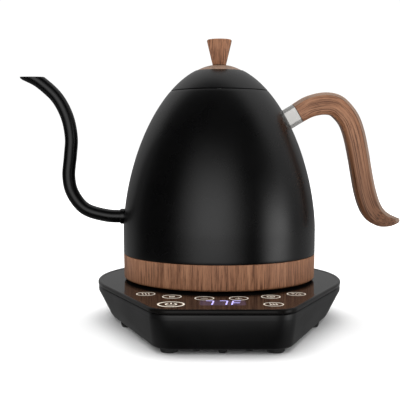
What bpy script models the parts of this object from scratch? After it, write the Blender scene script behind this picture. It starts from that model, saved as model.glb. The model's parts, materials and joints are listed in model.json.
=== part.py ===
"""Electric gooseneck kettle standing on a touch-control base with a flat front.

Metres, +Z up. The front faces -Y, the spout points to -X and the handle to +X. The
origin is the middle of the whole object's footprint, on the surface it stands on.
Every piece is drawn round the kettle's upright axis, which the base's round back
shares, and is placed by the empty of the body it belongs to.
"""

import math

import bmesh
import bpy
from mathutils import Vector

# Reach of each side from the kettle's axis, and where that axis stands.
SPOUT_REACH = 0.1618
HANDLE_REACH = 0.1485
BASE_FRONT_REACH = 0.1375
BASE_BACK_REACH = 0.099
AXIS_X = (SPOUT_REACH - HANDLE_REACH) / 2
AXIS_Y = (BASE_FRONT_REACH - BASE_BACK_REACH) / 2

GAP = 0.0003
MERGE = 0.00001

# Base: its back is round, and straight sides run from it to the corners of a flat front.
FRONT_HALF_WIDTH = 0.046
FRONT_CORNER_R = 0.018
BACK_STEPS = 26
CORNER_STEPS = 4
FOOT_HEIGHT = 0.0035
FOOT_R = 0.0065
PLATE_BOTTOM = 0.0284
PLATE_TOP = 0.0314
PLATE_RIM = 0.0004
HOUSING_TOP = PLATE_BOTTOM - GAP
HOUSING_BOTTOM = FOOT_HEIGHT + 0.0002
HOUSING_INSET = 0.0004
HOUSING_WALL = 0.0026
HOUSING_BACK_TAPER = 0.0098
HOUSING_FRONT_TAPER = 0.0020
COVER_BOTTOM = FOOT_HEIGHT + GAP
COVER_THICKNESS = 0.0020
COVER_TOP = COVER_BOTTOM + COVER_THICKNESS
POST_R = 0.0040
POST_TOP = 0.0200
POST_BACK_R = 0.0832
POST_BACK_ANGLES = (5, 50, 130, 175)
POST_FRONT_X = 0.018
POST_FRONT_Y = -0.1292
BASE_SCREW_R = 0.0014
BASE_SCREW_END = 0.0160
SCREW_CLEARANCE = 0.0003

# Round connector: the socket on the base, the cup on the kettle.
SOCKET_R = 0.0190
SOCKET_TOP = 0.0482
SOCKET_FLANGE_R = 0.0225
SOCKET_FLANGE_TOP = PLATE_TOP + 0.0016
SOCKET_BOTTOM = 0.0120
SOCKET_BODY_R = 0.0205
PIN_BORE_R = 0.0034
PIN_BORE_BOTTOM = 0.0280
GROOVE_INNER_R = 0.0078
GROOVE_OUTER_R = 0.0108
GROOVE_BOTTOM = 0.0345
CUP_INNER_R = 0.0196
CUP_OUTER_R = 0.0228
CUP_ROOF = 0.0490
CUP_TOP = 0.0515
CUP_FLANGE_R = 0.0300

# Kettle body.
BODY_R = 0.0783
BODY_WIDEST_Z = 0.073
BODY_APEX_Z = 0.206
BODY_TUCK = 0.0020
BODY_WALL = 0.0014
KETTLE_BOTTOM = 0.0330
RIB_BOTTOM = PLATE_TOP + PLATE_RIM + GAP
BAND_TOP = 0.0527
BAND_INNER_R = 0.0765
SKIRT_R = 0.0762
SKIRT_BOTTOM = 0.0356
SKIRT_WALL = 0.0012
FLOOR_BOTTOM = 0.0570
FLOOR_THICKNESS = 0.0012
MOUTH_Z = 0.1842
MOUTH_LEDGE_Z = 0.1822
MOUTH_LEDGE_R = 0.0383
MOUTH_HOLE_R = 0.0346
MOUTH_LIP_Z = 0.1808

# Heating and sensing under the vessel floor.
HEATER_R = 0.052
HEATER_TOP = FLOOR_BOTTOM - GAP
HEATER_BOTTOM = 0.0535
ELEMENT_R = 0.040
ELEMENT_TUBE_R = 0.0038
ELEMENT_Z = HEATER_BOTTOM - GAP - ELEMENT_TUBE_R
ELEMENT_OPENING = math.radians(50)
TERMINAL_LENGTH = 0.008
TERMINAL_R = 0.0016
SENSOR_OFFSET = 0.029
SENSOR_R = 0.0030
SENSOR_TIP_Z = 0.0720
SENSOR_HOLE_R = 0.0048

# Lid.
LID_Z = MOUTH_Z + 0.0005
LID_CAP_R = 0.0189
LID_RECESS_R = LID_CAP_R + 0.0004
LID_RECESS_Z = 0.1990
LID_CAP_TOP = 0.2053
LID_PLATE_R = 0.0379
LID_PLATE_Z = MOUTH_LEDGE_Z + 0.0004
LID_PLATE_THICKNESS = 0.0012
LID_SKIRT_R = 0.0325
LID_SKIRT_BOTTOM = 0.1740
KNOB_FOOT_R = 0.0055
KNOB_TOP_R = 0.0101
KNOB_TOP = 0.2262
KNOB_SCREW_R = 0.0019
KNOB_BORE_TOP = 0.2190

# Spout: centre line as (x, z) from the kettle's axis, tube sizes and the level cut.
SPOUT_R = 0.0051
SPOUT_BORE_R = 0.0039
SPOUT_CUT_Z = 0.1960
SPOUT_ROOT_Z = 0.0823
SPOUT_LINE = (
    (-0.0755, SPOUT_ROOT_Z),
    (-0.0920, 0.0829),
    (-0.1099, 0.0884),
    (-0.1202, 0.1010),
    (-0.1234, 0.1150),
    (-0.1219, 0.1320),
    (-0.1210, 0.1470),
    (-0.1243, 0.1640),
    (-0.1325, 0.1795),
    (-0.1456, 0.1919),
    (-0.1600, 0.2008),
    (-0.1680, 0.2034),
)

# Handle: centre line and half thickness as (x, z, r), and its ferrule.
FERRULE_START = (0.0500, 0.1584)
FERRULE_END = (0.0634, 0.1664)
FERRULE_R = 0.0083
GRIP_LINE = (
    (0.0637, 0.1666, 0.0083),
    (0.0680, 0.1692, 0.0086),
    (0.0741, 0.1722, 0.0090),
    (0.0839, 0.1743, 0.0092),
    (0.0920, 0.1736, 0.0092),
    (0.0978, 0.1700, 0.0092),
    (0.1046, 0.1617, 0.0092),
    (0.1090, 0.1509, 0.0091),
    (0.1126, 0.1353, 0.0091),
    (0.1163, 0.1159, 0.0091),
    (0.1191, 0.1030, 0.0091),
    (0.1225, 0.0923, 0.0089),
    (0.1265, 0.0853, 0.0083),
    (0.1316, 0.0808, 0.0070),
    (0.1374, 0.0786, 0.0049),
    (0.1432, 0.0783, 0.0028),
    (HANDLE_REACH, 0.0791, 0.0012),
)
HANDLE_SQUARENESS = 3.5
HANDLE_SIDES = 16
STUD_R = 0.0030
STUD_LENGTH = 0.028

LARGE_STEPS = 36
MEDIUM_STEPS = 24
SMALL_STEPS = 14

# Finishes: base colour, roughness, metallic.
SATIN_BLACK = ((0.012, 0.012, 0.013), 0.42, 0.0)
GLOSS_BLACK = ((0.010, 0.010, 0.011), 0.12, 0.0)
MATT_BLACK = ((0.020, 0.020, 0.021), 0.6, 0.0)
WALNUT = ((0.24, 0.11, 0.055), 0.5, 0.0)
POLISHED_STEEL = ((0.78, 0.77, 0.75), 0.15, 1.0)
BRUSHED_STEEL = ((0.60, 0.60, 0.60), 0.35, 1.0)
ALUMINIUM = ((0.72, 0.73, 0.74), 0.4, 1.0)
BRASS = ((0.75, 0.55, 0.22), 0.3, 1.0)
SILICONE = ((0.75, 0.75, 0.72), 0.55, 0.0)
RUBBER = ((0.03, 0.03, 0.03), 0.75, 0.0)
BOARD_GREEN = ((0.03, 0.16, 0.07), 0.5, 0.0)
DISPLAY_BLUE = ((0.05, 0.06, 0.20), 0.3, 0.0)


# ---- Helpers ---------------------------------------------------------------------------


def new_collection(name):
    collection = bpy.data.collections.new(name)
    bpy.context.scene.collection.children.link(collection)
    return collection


def add_empty(name, location, parent=None):
    empty = bpy.data.objects.new(name, None)
    empty.location = location
    empty.parent = parent
    empty.empty_display_size = 0.02
    KETTLE_PARTS.objects.link(empty)
    return empty


def add_piece(name, data, parent, finish, location=(0, 0, 0)):
    """Link a piece to the parts collection and give it its own material."""
    piece = bpy.data.objects.new(name, data)
    piece.parent = parent
    piece.location = location
    KETTLE_PARTS.objects.link(piece)
    paint(piece, finish)
    return piece


def paint(piece, finish):
    colour, roughness, metallic = finish
    material = bpy.data.materials.new(piece.name)
    material.use_nodes = True
    shader = material.node_tree.nodes["Principled BSDF"]
    shader.inputs["Base Color"].default_value = (*colour, 1)
    shader.inputs["Roughness"].default_value = roughness
    shader.inputs["Metallic"].default_value = metallic
    piece.data.materials.clear()
    piece.data.materials.append(material)


def make_cutter(piece):
    """Turn a piece into a guide that only cuts others."""
    for collection in piece.users_collection:
        collection.objects.unlink(piece)
    CUTTERS.objects.link(piece)
    piece.hide_render = True
    piece.display_type = "WIRE"
    return piece


def combine(piece, other, operation):
    modifier = piece.modifiers.new(other.name, "BOOLEAN")
    modifier.operation = operation
    modifier.object = other


def cut(piece, *cutters):
    for cutter in cutters:
        combine(piece, cutter, "DIFFERENCE")


def join(piece, *others):
    for other in others:
        combine(piece, make_cutter(other), "UNION")


def turned(name, profile, parent, finish, location=(0, 0, 0), steps=SMALL_STEPS):
    """Turn (radius, height) points round Z, listed down the outer side.

    A profile that starts off the axis is a ring, and closes on itself."""
    mesh = bpy.data.meshes.new(name)
    points = [(radius, 0, height) for radius, height in profile]
    edges = [(i, i + 1) for i in range(len(points) - 1)]
    if profile[0][0] > 0:
        edges.append((len(points) - 1, 0))
    mesh.from_pydata(points, edges, [])
    piece = add_piece(name, mesh, parent, finish, location)
    screw = piece.modifiers.new("Turn", "SCREW")
    screw.steps = steps
    screw.render_steps = steps
    screw.use_merge_vertices = True
    screw.merge_threshold = MERGE
    return piece


def cylinder(name, radius, bottom, top, parent, finish, location=(0, 0, 0), steps=SMALL_STEPS):
    profile = ((0, top), (radius, top), (radius, bottom), (0, bottom))
    return turned(name, profile, parent, finish, location, steps)


def box(name, size, centre, parent, finish, rounding=0.0):
    """A block of the given size, its edges rounded."""
    shape = bmesh.new()
    bmesh.ops.create_cube(shape, size=1)
    bmesh.ops.scale(shape, vec=size, verts=shape.verts)
    mesh = bpy.data.meshes.new(name)
    shape.to_mesh(mesh)
    shape.free()
    piece = add_piece(name, mesh, parent, finish, centre)
    if rounding:
        bevel = piece.modifiers.new("Round", "BEVEL")
        bevel.width = rounding
        bevel.segments = 2
    return piece


def smooth_line(points, spans):
    """Catmull-Rom points through the given ones, with spans pieces between each pair."""
    vectors = [Vector(point) for point in points]
    padded = [2 * vectors[0] - vectors[1], *vectors, 2 * vectors[-1] - vectors[-2]]
    line = []
    for before, start, end, after in zip(padded, padded[1:], padded[2:], padded[3:]):
        for step in range(spans):
            t = step / spans
            line.append(
                0.5
                * (
                    2 * start
                    + (end - before) * t
                    + (2 * before - 5 * start + 4 * end - after) * t**2
                    + (3 * start - before - 3 * end + after) * t**3
                )
            )
    return line + [vectors[-1]]


def rod(name, line, radius, parent, finish, profile=None, sides=12):
    """A closed mesh swept along (x, z) or (x, z, r) points in the plane of the spout.

    It is round, or takes the outline of a profile curve."""
    data = bpy.data.curves.new(name, "CURVE")
    data.dimensions = "3D"
    data.use_fill_caps = True
    if profile:
        data.bevel_mode = "OBJECT"
        data.bevel_object = profile
    else:
        data.bevel_depth = radius
        data.bevel_resolution = sides // 2 - 2
    spline = data.splines.new("POLY")
    spline.points.add(len(line) - 1)
    for point, place in zip(spline.points, line):
        point.co = (place[0], 0, place[1], 1)
        if profile:
            point.radius = place[2] if len(place) > 2 else radius
    curve = bpy.data.objects.new(name + "_line", data)
    KETTLE_PARTS.objects.link(curve)
    graph = bpy.context.evaluated_depsgraph_get()
    mesh = bpy.data.meshes.new_from_object(curve.evaluated_get(graph))
    shape = bmesh.new()
    shape.from_mesh(mesh)
    bmesh.ops.remove_doubles(shape, verts=shape.verts, dist=MERGE)
    bmesh.ops.recalc_face_normals(shape, faces=shape.faces)
    shape.to_mesh(mesh)
    shape.free()
    mesh.name = name
    mesh.shade_smooth()
    mesh.set_sharp_from_angle(angle=math.radians(40))
    place = curve.matrix_world.copy()
    bpy.data.objects.remove(curve)
    piece = add_piece(name, mesh, parent, finish)
    piece.matrix_local = place
    return piece


def squared_profile(squareness, sides):
    """A unit outline between a circle and a square, for the handle's section."""
    data = bpy.data.curves.new("handle_section", "CURVE")
    data.dimensions = "2D"
    spline = data.splines.new("POLY")
    spline.points.add(sides - 1)
    spline.use_cyclic_u = True
    for index, point in enumerate(spline.points):
        angle = 2 * math.pi * index / sides
        c, s = math.cos(angle), math.sin(angle)
        reach = (abs(c) ** squareness + abs(s) ** squareness) ** (-1 / squareness)
        point.co = (reach * c, reach * s, 0, 1)
    section = bpy.data.objects.new("handle_section", data)
    CUTTERS.objects.link(section)
    section.hide_render = True
    return section


# ---- Base ------------------------------------------------------------------------------


def base_outline(inset, taper):
    """The base's outline, anticlockwise from the right side.

    It is the plate's own outline at inset 0 and taper 0. The inset moves it inwards all
    round, and the taper runs from 0 to 1 down the leaning walls of the housing."""
    back_r = BASE_BACK_REACH - inset - taper * HOUSING_BACK_TAPER
    front = BASE_FRONT_REACH - inset - taper * HOUSING_FRONT_TAPER
    half_width = FRONT_HALF_WIDTH - 0.65 * inset - 0.8 * taper * HOUSING_FRONT_TAPER
    corner_r = FRONT_CORNER_R - inset
    slant = math.atan2(front, half_width) - math.acos(back_r / math.hypot(half_width, front))
    corner_y = corner_r - front
    corner_x = (back_r - corner_r + corner_y * math.sin(slant)) / math.cos(slant)
    half_turn, front_turn = math.pi, 1.5 * math.pi
    arcs = (
        (0, 0, back_r, -slant, half_turn + slant, BACK_STEPS),
        (-corner_x, corner_y, corner_r, half_turn + slant, front_turn, CORNER_STEPS),
        (corner_x, corner_y, corner_r, front_turn, 2 * half_turn - slant, CORNER_STEPS),
    )
    ring = []
    for x, y, radius, start, end, steps in arcs:
        for step in range(steps + 1):
            angle = start + (end - start) * step / steps
            ring.append(
                (
                    x + radius * math.cos(angle),
                    y + radius * math.sin(angle),
                )
            )
    return ring


def base_loft(name, sections, parent, finish, is_frame=False):
    """A loft down (inset, height) or (inset, height, taper) sections.

    A frame joins the last one to the first."""
    shape = bmesh.new()
    rings = []
    for inset, height, *taper in sections:
        outline = base_outline(inset, *(taper or [0]))
        rings.append([shape.verts.new((x, y, height)) for x, y in outline])
    pairs = list(zip(rings, rings[1:]))
    if is_frame:
        pairs.append((rings[-1], rings[0]))
    else:
        shape.faces.new(rings[0])
        shape.faces.new(rings[-1])
    for upper, lower in pairs:
        for i in range(len(upper)):
            shape.faces.new((upper[i - 1], upper[i], lower[i], lower[i - 1]))
    bmesh.ops.recalc_face_normals(shape, faces=shape.faces)
    mesh = bpy.data.meshes.new(name)
    shape.to_mesh(mesh)
    shape.free()
    return add_piece(name, mesh, parent, finish)


def polar(radius, degrees):
    angle = math.radians(degrees)
    return radius * math.cos(angle), radius * math.sin(angle)


def base_screw_places():
    """Two screws behind the flat front and four round the back."""
    places = [(-POST_FRONT_X, POST_FRONT_Y), (POST_FRONT_X, POST_FRONT_Y)]
    for degrees in POST_BACK_ANGLES:
        places.append(polar(POST_BACK_R, degrees))
    return places


def foot_places():
    """Six feet round the edge, and a small one at the middle of the front."""
    front_x, front_y = 0.0365, -0.1232
    side_r, rear_r = 0.0825, 0.0800
    return {
        "foot_front_left": (-front_x, front_y),
        "foot_front_right": (front_x, front_y),
        "foot_side_left": polar(side_r, 211),
        "foot_side_right": polar(side_r, 329),
        "foot_rear_left": polar(rear_r, 115),
        "foot_rear_right": polar(rear_r, 65),
        "foot_front_middle": (0, front_y - 0.002),
    }


def make_base_shell(base):
    plate = base_loft(
        "base_top_plate",
        (
            (0.0032, PLATE_TOP),
            (0.0026, PLATE_TOP + PLATE_RIM),
            (0.0007, PLATE_TOP + PLATE_RIM),
            (0, PLATE_TOP - 0.0003),
            (0, PLATE_BOTTOM + 0.0005),
            (0.0005, PLATE_BOTTOM),
        ),
        base,
        GLOSS_BLACK,
    )
    socket_hole = cylinder(
        "socket_hole",
        SOCKET_BODY_R + GAP,
        PLATE_BOTTOM - 0.002,
        PLATE_TOP + 0.002,
        base,
        MATT_BLACK,
        steps=MEDIUM_STEPS,
    )
    cut(plate, make_cutter(socket_hole))

    housing = base_loft(
        "base_housing",
        (
            (HOUSING_INSET, HOUSING_TOP, 0),
            (HOUSING_INSET, HOUSING_BOTTOM + 0.0008, 1),
            (HOUSING_INSET + 0.0006, HOUSING_BOTTOM, 1),
            (HOUSING_INSET + HOUSING_WALL, HOUSING_BOTTOM, 1),
            (HOUSING_INSET + HOUSING_WALL, HOUSING_TOP, 0),
        ),
        base,
        SATIN_BLACK,
        is_frame=True,
    )
    cover = base_loft(
        "base_bottom_cover",
        (
            (HOUSING_INSET + HOUSING_WALL + GAP, COVER_TOP, 1),
            (HOUSING_INSET + HOUSING_WALL + GAP, COVER_BOTTOM, 1),
        ),
        base,
        MATT_BLACK,
    )
    for index, (x, y) in enumerate(base_screw_places(), 1):
        post = cylinder(
            f"post_{index}", POST_R, COVER_TOP + GAP, POST_TOP, base, SATIN_BLACK, (x, y, 0)
        )
        join(housing, post)
    for index, (x, y) in enumerate(base_screw_places(), 1):
        hole = cylinder(
            f"screw_hole_{index}",
            BASE_SCREW_R + SCREW_CLEARANCE,
            0,
            BASE_SCREW_END + 0.001,
            base,
            SATIN_BLACK,
            (x, y, 0),
            steps=10,
        )
        make_cutter(hole)
        cut(housing, hole)
        cut(cover, hole)
        head_top = COVER_BOTTOM - GAP
        turned(
            f"base_screw_{index}",
            (
                (0, BASE_SCREW_END),
                (BASE_SCREW_R, BASE_SCREW_END),
                (BASE_SCREW_R, head_top),
                (0.0030, head_top),
                (0.0026, head_top - 0.0011),
                (0, head_top - 0.0011),
            ),
            base,
            MATT_BLACK,
            (x, y, 0),
            steps=10,
        )
    for name, (x, y) in foot_places().items():
        radius = 0.0034 if "middle" in name else FOOT_R
        turned(
            name,
            (
                (0, FOOT_HEIGHT),
                (radius, FOOT_HEIGHT),
                (radius - 0.0004, 0.0004),
                (radius - 0.0008, 0),
                (0, 0),
            ),
            base,
            RUBBER,
            (x, y, 0),
            steps=18,
        )
    return housing


def make_cord_gland(base, housing):
    """A rubber bush with an open bore, where the mains lead enters the rear wall."""
    gland_z, gland_r, bore_r = 0.0145, 0.0052, 0.0033
    rear_y = BASE_BACK_REACH - 0.0020
    half_length = 0.0045
    hole = cylinder(
        "gland_hole", gland_r + GAP, -0.02, 0.02, base, SATIN_BLACK, (0, rear_y, gland_z)
    )
    gland = turned(
        "cord_gland",
        (
            (gland_r, half_length),
            (gland_r, -half_length),
            (bore_r, -half_length),
            (bore_r, half_length),
        ),
        base,
        RUBBER,
        (0, rear_y - half_length, gland_z),
        steps=18,
    )
    for piece in (hole, gland):
        piece.rotation_euler = (math.pi / 2, 0, 0)
    cut(housing, make_cutter(hole))


def make_socket(base):
    """The round cordless socket, with its ring contact and its loose centre contact."""
    turned(
        "base_socket",
        (
            (GROOVE_OUTER_R, SOCKET_TOP),
            (SOCKET_R - 0.0012, SOCKET_TOP),
            (SOCKET_R, SOCKET_TOP - 0.0012),
            (SOCKET_R, SOCKET_FLANGE_TOP),
            (SOCKET_FLANGE_R, SOCKET_FLANGE_TOP),
            (SOCKET_FLANGE_R, PLATE_TOP + GAP),
            (SOCKET_BODY_R, PLATE_TOP + GAP),
            (SOCKET_BODY_R, SOCKET_BOTTOM),
            (PIN_BORE_R / 2, SOCKET_BOTTOM),
            (PIN_BORE_R / 2, PIN_BORE_BOTTOM),
            (PIN_BORE_R, PIN_BORE_BOTTOM),
            (PIN_BORE_R, SOCKET_TOP),
            (GROOVE_INNER_R, SOCKET_TOP),
            (GROOVE_INNER_R, GROOVE_BOTTOM),
            (GROOVE_OUTER_R, GROOVE_BOTTOM),
        ),
        base,
        MATT_BLACK,
        steps=MEDIUM_STEPS,
    )
    turned(
        "ring_contact",
        (
            (GROOVE_OUTER_R - GAP, 0.0400),
            (GROOVE_OUTER_R - GAP, GROOVE_BOTTOM + GAP),
            (GROOVE_INNER_R + GAP, GROOVE_BOTTOM + GAP),
            (GROOVE_INNER_R + GAP, 0.0400),
        ),
        base,
        BRASS,
        steps=20,
    )
    turned(
        "centre_contact",
        (
            (0, 0.0395),
            (0.0020, 0.0395),
            (0.0030, 0.0385),
            (0.0030, PIN_BORE_BOTTOM + GAP),
            (0, PIN_BORE_BOTTOM + GAP),
        ),
        base,
        BRASS,
    )


def make_electronics(base):
    """The boards, display, sounder and power parts inside the base."""
    board_z = 0.0246
    box("touch_board", (0.086, 0.030, 0.0016), (0, -0.1050, board_z), base, BOARD_GREEN)
    box("display_module", (0.036, 0.0100, 0.0020), (0, -0.1145, 0.0267), base, DISPLAY_BLUE, 0.0003)
    cylinder("buzzer", 0.0060, 0.0170, 0.0234, base, MATT_BLACK, (0.028, -0.1000, 0))
    power_z = 0.0085
    power_y = 0.0460
    box("power_board", (0.080, 0.040, 0.0016), (0, power_y, power_z), base, BOARD_GREEN)
    on_board = power_z + 0.0008 + GAP
    tall = 0.0150
    middle = on_board + tall / 2
    box("power_relay", (0.020, 0.015, tall), (-0.028, power_y, middle), base, MATT_BLACK, 0.0008)
    box("transformer", (0.022, 0.020, tall), (0.002, power_y, middle), base, BRASS, 0.0012)
    cylinder("capacitor", 0.0060, on_board, on_board + tall, base, ALUMINIUM, (0.028, power_y, 0))


# ---- Kettle ----------------------------------------------------------------------------


def body_radius(z):
    """Outer radius of the kettle and its lid at a height."""
    if z <= BODY_WIDEST_Z:
        return BODY_R - BODY_TUCK * ((BODY_WIDEST_Z - z) / BODY_WIDEST_Z) ** 2
    rise = (z - BODY_WIDEST_Z) / (BODY_APEX_Z - BODY_WIDEST_Z)
    return BODY_R * (1 - rise**1.70) ** (1 / 1.98)


def heights(start, end, count):
    return [start + (end - start) * i / (count - 1) for i in range(count)]


def make_body_shell(kettle):
    outer = [(body_radius(z), z) for z in heights(MOUTH_Z, BAND_TOP + GAP, 15)]
    inner = [(body_radius(z) - BODY_WALL, z) for z in heights(0.0558, MOUTH_LIP_Z, 8)]
    shell = turned(
        "body_shell",
        (
            *outer,
            (SKIRT_R, BAND_TOP + GAP),
            (SKIRT_R, SKIRT_BOTTOM),
            (SKIRT_R - SKIRT_WALL, SKIRT_BOTTOM),
            (SKIRT_R - SKIRT_WALL, 0.0545),
            *inner,
            (MOUTH_HOLE_R, MOUTH_LIP_Z),
            (MOUTH_HOLE_R, MOUTH_LEDGE_Z),
            (MOUTH_LEDGE_R, MOUTH_LEDGE_Z),
            (MOUTH_LEDGE_R, MOUTH_Z),
        ),
        kettle,
        SATIN_BLACK,
        steps=LARGE_STEPS,
    )
    spout_hole = cylinder(
        "spout_hole", SPOUT_R + GAP, -0.01, 0.01, kettle, SATIN_BLACK, (-BODY_R, 0, SPOUT_ROOT_Z)
    )
    spout_hole.rotation_euler = (0, math.pi / 2, 0)
    cut(shell, make_cutter(spout_hole))


def make_body_envelope(kettle):
    """The outside of the body with a small gap, which trims what is fixed to it."""
    rows = [(body_radius(z) + GAP, z) for z in heights(0.1980, 0.0500, 37)]
    envelope = turned(
        "body_envelope",
        ((0, 0.1980), *rows, (0, 0.0500)),
        kettle,
        SATIN_BLACK,
        steps=4 * LARGE_STEPS,
    )
    return make_cutter(envelope)


def make_floor_and_heater(kettle):
    sensor_place = (0, SENSOR_OFFSET, 0)
    sensor_hole = cylinder(
        "sensor_hole", SENSOR_HOLE_R, 0.050, 0.062, kettle, BRUSHED_STEEL, sensor_place
    )
    make_cutter(sensor_hole)
    floor_r = body_radius(FLOOR_BOTTOM) - BODY_WALL - GAP
    vessel_floor = cylinder(
        "vessel_floor",
        floor_r,
        FLOOR_BOTTOM,
        FLOOR_BOTTOM + FLOOR_THICKNESS,
        kettle,
        BRUSHED_STEEL,
        steps=LARGE_STEPS,
    )
    heater = cylinder(
        "heater_plate", HEATER_R, HEATER_BOTTOM, HEATER_TOP, kettle, ALUMINIUM, steps=MEDIUM_STEPS
    )
    cut(vessel_floor, sensor_hole)
    cut(heater, sensor_hole)
    turned(
        "temperature_sensor",
        (
            (0, SENSOR_TIP_Z),
            (SENSOR_R * 0.7, SENSOR_TIP_Z - 0.0008),
            (SENSOR_R, SENSOR_TIP_Z - 0.0028),
            (SENSOR_R, HEATER_BOTTOM - GAP),
            (0.0050, HEATER_BOTTOM - GAP),
            (0.0050, 0.0500),
            (0, 0.0500),
        ),
        kettle,
        BRUSHED_STEEL,
        sensor_place,
    )
    floor_top = FLOOR_BOTTOM + FLOOR_THICKNESS
    turned(
        "sensor_seal",
        (
            (0.0060, floor_top + GAP + 0.0012),
            (0.0062, floor_top + GAP),
            (SENSOR_HOLE_R - GAP, floor_top + GAP),
            (SENSOR_HOLE_R - GAP, 0.0545),
            (SENSOR_R + GAP, 0.0545),
            (SENSOR_R + GAP, floor_top + GAP + 0.0012),
        ),
        kettle,
        SILICONE,
        sensor_place,
    )
    cylinder(
        "thermostat_disc", 0.0055, 0.0480, HEATER_BOTTOM - GAP, kettle, BRASS, (0, -SENSOR_OFFSET, 0)
    )


def make_element(kettle):
    """The tubular element, a ring with a gap towards the handle, and its two terminals."""
    data = bpy.data.curves.new("heating_element", "CURVE")
    data.dimensions = "3D"
    data.bevel_depth = ELEMENT_TUBE_R
    data.bevel_resolution = 2
    data.use_fill_caps = True
    spline = data.splines.new("POLY")
    steps = 28
    spline.points.add(steps)
    start, end = ELEMENT_OPENING / 2, 2 * math.pi - ELEMENT_OPENING / 2
    for index, point in enumerate(spline.points):
        angle = start + (end - start) * index / steps
        point.co = (ELEMENT_R * math.cos(angle), ELEMENT_R * math.sin(angle), ELEMENT_Z, 1)
    add_piece("heating_element", data, kettle, BRUSHED_STEEL)
    for name, angle, turn in (("terminal_rear", start, -1), ("terminal_front", end, 1)):
        along = Vector((-math.sin(angle), math.cos(angle), 0)) * turn
        centre = Vector((ELEMENT_R * math.cos(angle), ELEMENT_R * math.sin(angle), ELEMENT_Z))
        half = TERMINAL_LENGTH / 2
        terminal = cylinder(
            name, TERMINAL_R, -half, half, kettle, BRASS, centre + along * (half + 2 * GAP), steps=10
        )
        terminal.rotation_euler = along.to_track_quat("Z", "Y").to_euler()


def make_kettle_connector(kettle):
    """The cup that drops over the base's socket, its two contacts and three screws."""
    flange_bottom, flange_top = 0.0355, 0.0375
    connector = turned(
        "kettle_connector",
        (
            (0, CUP_TOP),
            (CUP_OUTER_R - 0.001, CUP_TOP),
            (CUP_OUTER_R, CUP_TOP - 0.001),
            (CUP_OUTER_R, flange_top),
            (CUP_FLANGE_R, flange_top),
            (CUP_FLANGE_R, flange_bottom),
            (CUP_OUTER_R, flange_bottom),
            (CUP_OUTER_R, KETTLE_BOTTOM + 0.0004),
            (CUP_INNER_R + 0.0010, KETTLE_BOTTOM + 0.0004),
            (CUP_INNER_R, KETTLE_BOTTOM + 0.0014),
            (CUP_INNER_R, CUP_ROOF),
            (0, CUP_ROOF),
        ),
        kettle,
        MATT_BLACK,
        steps=MEDIUM_STEPS,
    )
    turned(
        "connector_pin",
        (
            (0, CUP_ROOF - GAP),
            (0.0028, CUP_ROOF - GAP),
            (0.0028, 0.0410),
            (0.0018, 0.0400),
            (0, 0.0400),
        ),
        kettle,
        BRASS,
    )
    turned(
        "connector_ring",
        (
            (0.0100, CUP_ROOF - GAP),
            (0.0100, 0.0415),
            (0.0086, 0.0415),
            (0.0086, CUP_ROOF - GAP),
        ),
        kettle,
        BRASS,
        steps=20,
    )
    rib_inner, rib_outer = 0.0600, 0.0640
    wall_outer = SKIRT_R - SKIRT_WALL - GAP
    cover = turned(
        "kettle_bottom_cover",
        (
            (wall_outer, 0.0480),
            (wall_outer, SKIRT_BOTTOM - GAP),
            (SKIRT_R, SKIRT_BOTTOM - GAP),
            (SKIRT_R - 0.0010, KETTLE_BOTTOM),
            (rib_outer + 0.0006, KETTLE_BOTTOM),
            (rib_outer, RIB_BOTTOM),
            (rib_inner, RIB_BOTTOM),
            (rib_inner - 0.0006, KETTLE_BOTTOM),
            (CUP_OUTER_R + GAP, KETTLE_BOTTOM),
            (CUP_OUTER_R + GAP, flange_bottom - GAP),
            (wall_outer - 0.0018, flange_bottom - GAP),
            (wall_outer - 0.0018, 0.0480),
        ),
        kettle,
        MATT_BLACK,
        steps=LARGE_STEPS,
    )
    screw_r, circle_r = 0.0012, 0.0266
    for index in range(3):
        angle = math.radians(30 + 120 * index)
        place = (circle_r * math.cos(angle), circle_r * math.sin(angle), 0)
        hole = cylinder(
            f"connector_hole_{index + 1}",
            screw_r + SCREW_CLEARANCE,
            KETTLE_BOTTOM - 0.001,
            flange_top + 0.001,
            kettle,
            MATT_BLACK,
            place,
            steps=10,
        )
        make_cutter(hole)
        cut(connector, hole)
        cut(cover, hole)
        turned(
            f"connector_screw_{index + 1}",
            (
                (0, flange_top + GAP + 0.0016),
                (0.0022, flange_top + GAP + 0.0014),
                (0.0025, flange_top + GAP),
                (screw_r, flange_top + GAP),
                (screw_r, KETTLE_BOTTOM + 0.0006),
                (0, KETTLE_BOTTOM + 0.0006),
            ),
            kettle,
            BRUSHED_STEEL,
            place,
            steps=10,
        )


def make_wood_band(kettle):
    outer = [(body_radius(z), z) for z in heights(BAND_TOP, KETTLE_BOTTOM + 0.0010, 4)]
    turned(
        "wood_band",
        (
            *outer,
            (body_radius(KETTLE_BOTTOM) - 0.0010, KETTLE_BOTTOM),
            (BAND_INNER_R, KETTLE_BOTTOM),
            (BAND_INNER_R, BAND_TOP),
        ),
        kettle,
        WALNUT,
        steps=LARGE_STEPS,
    )


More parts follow.
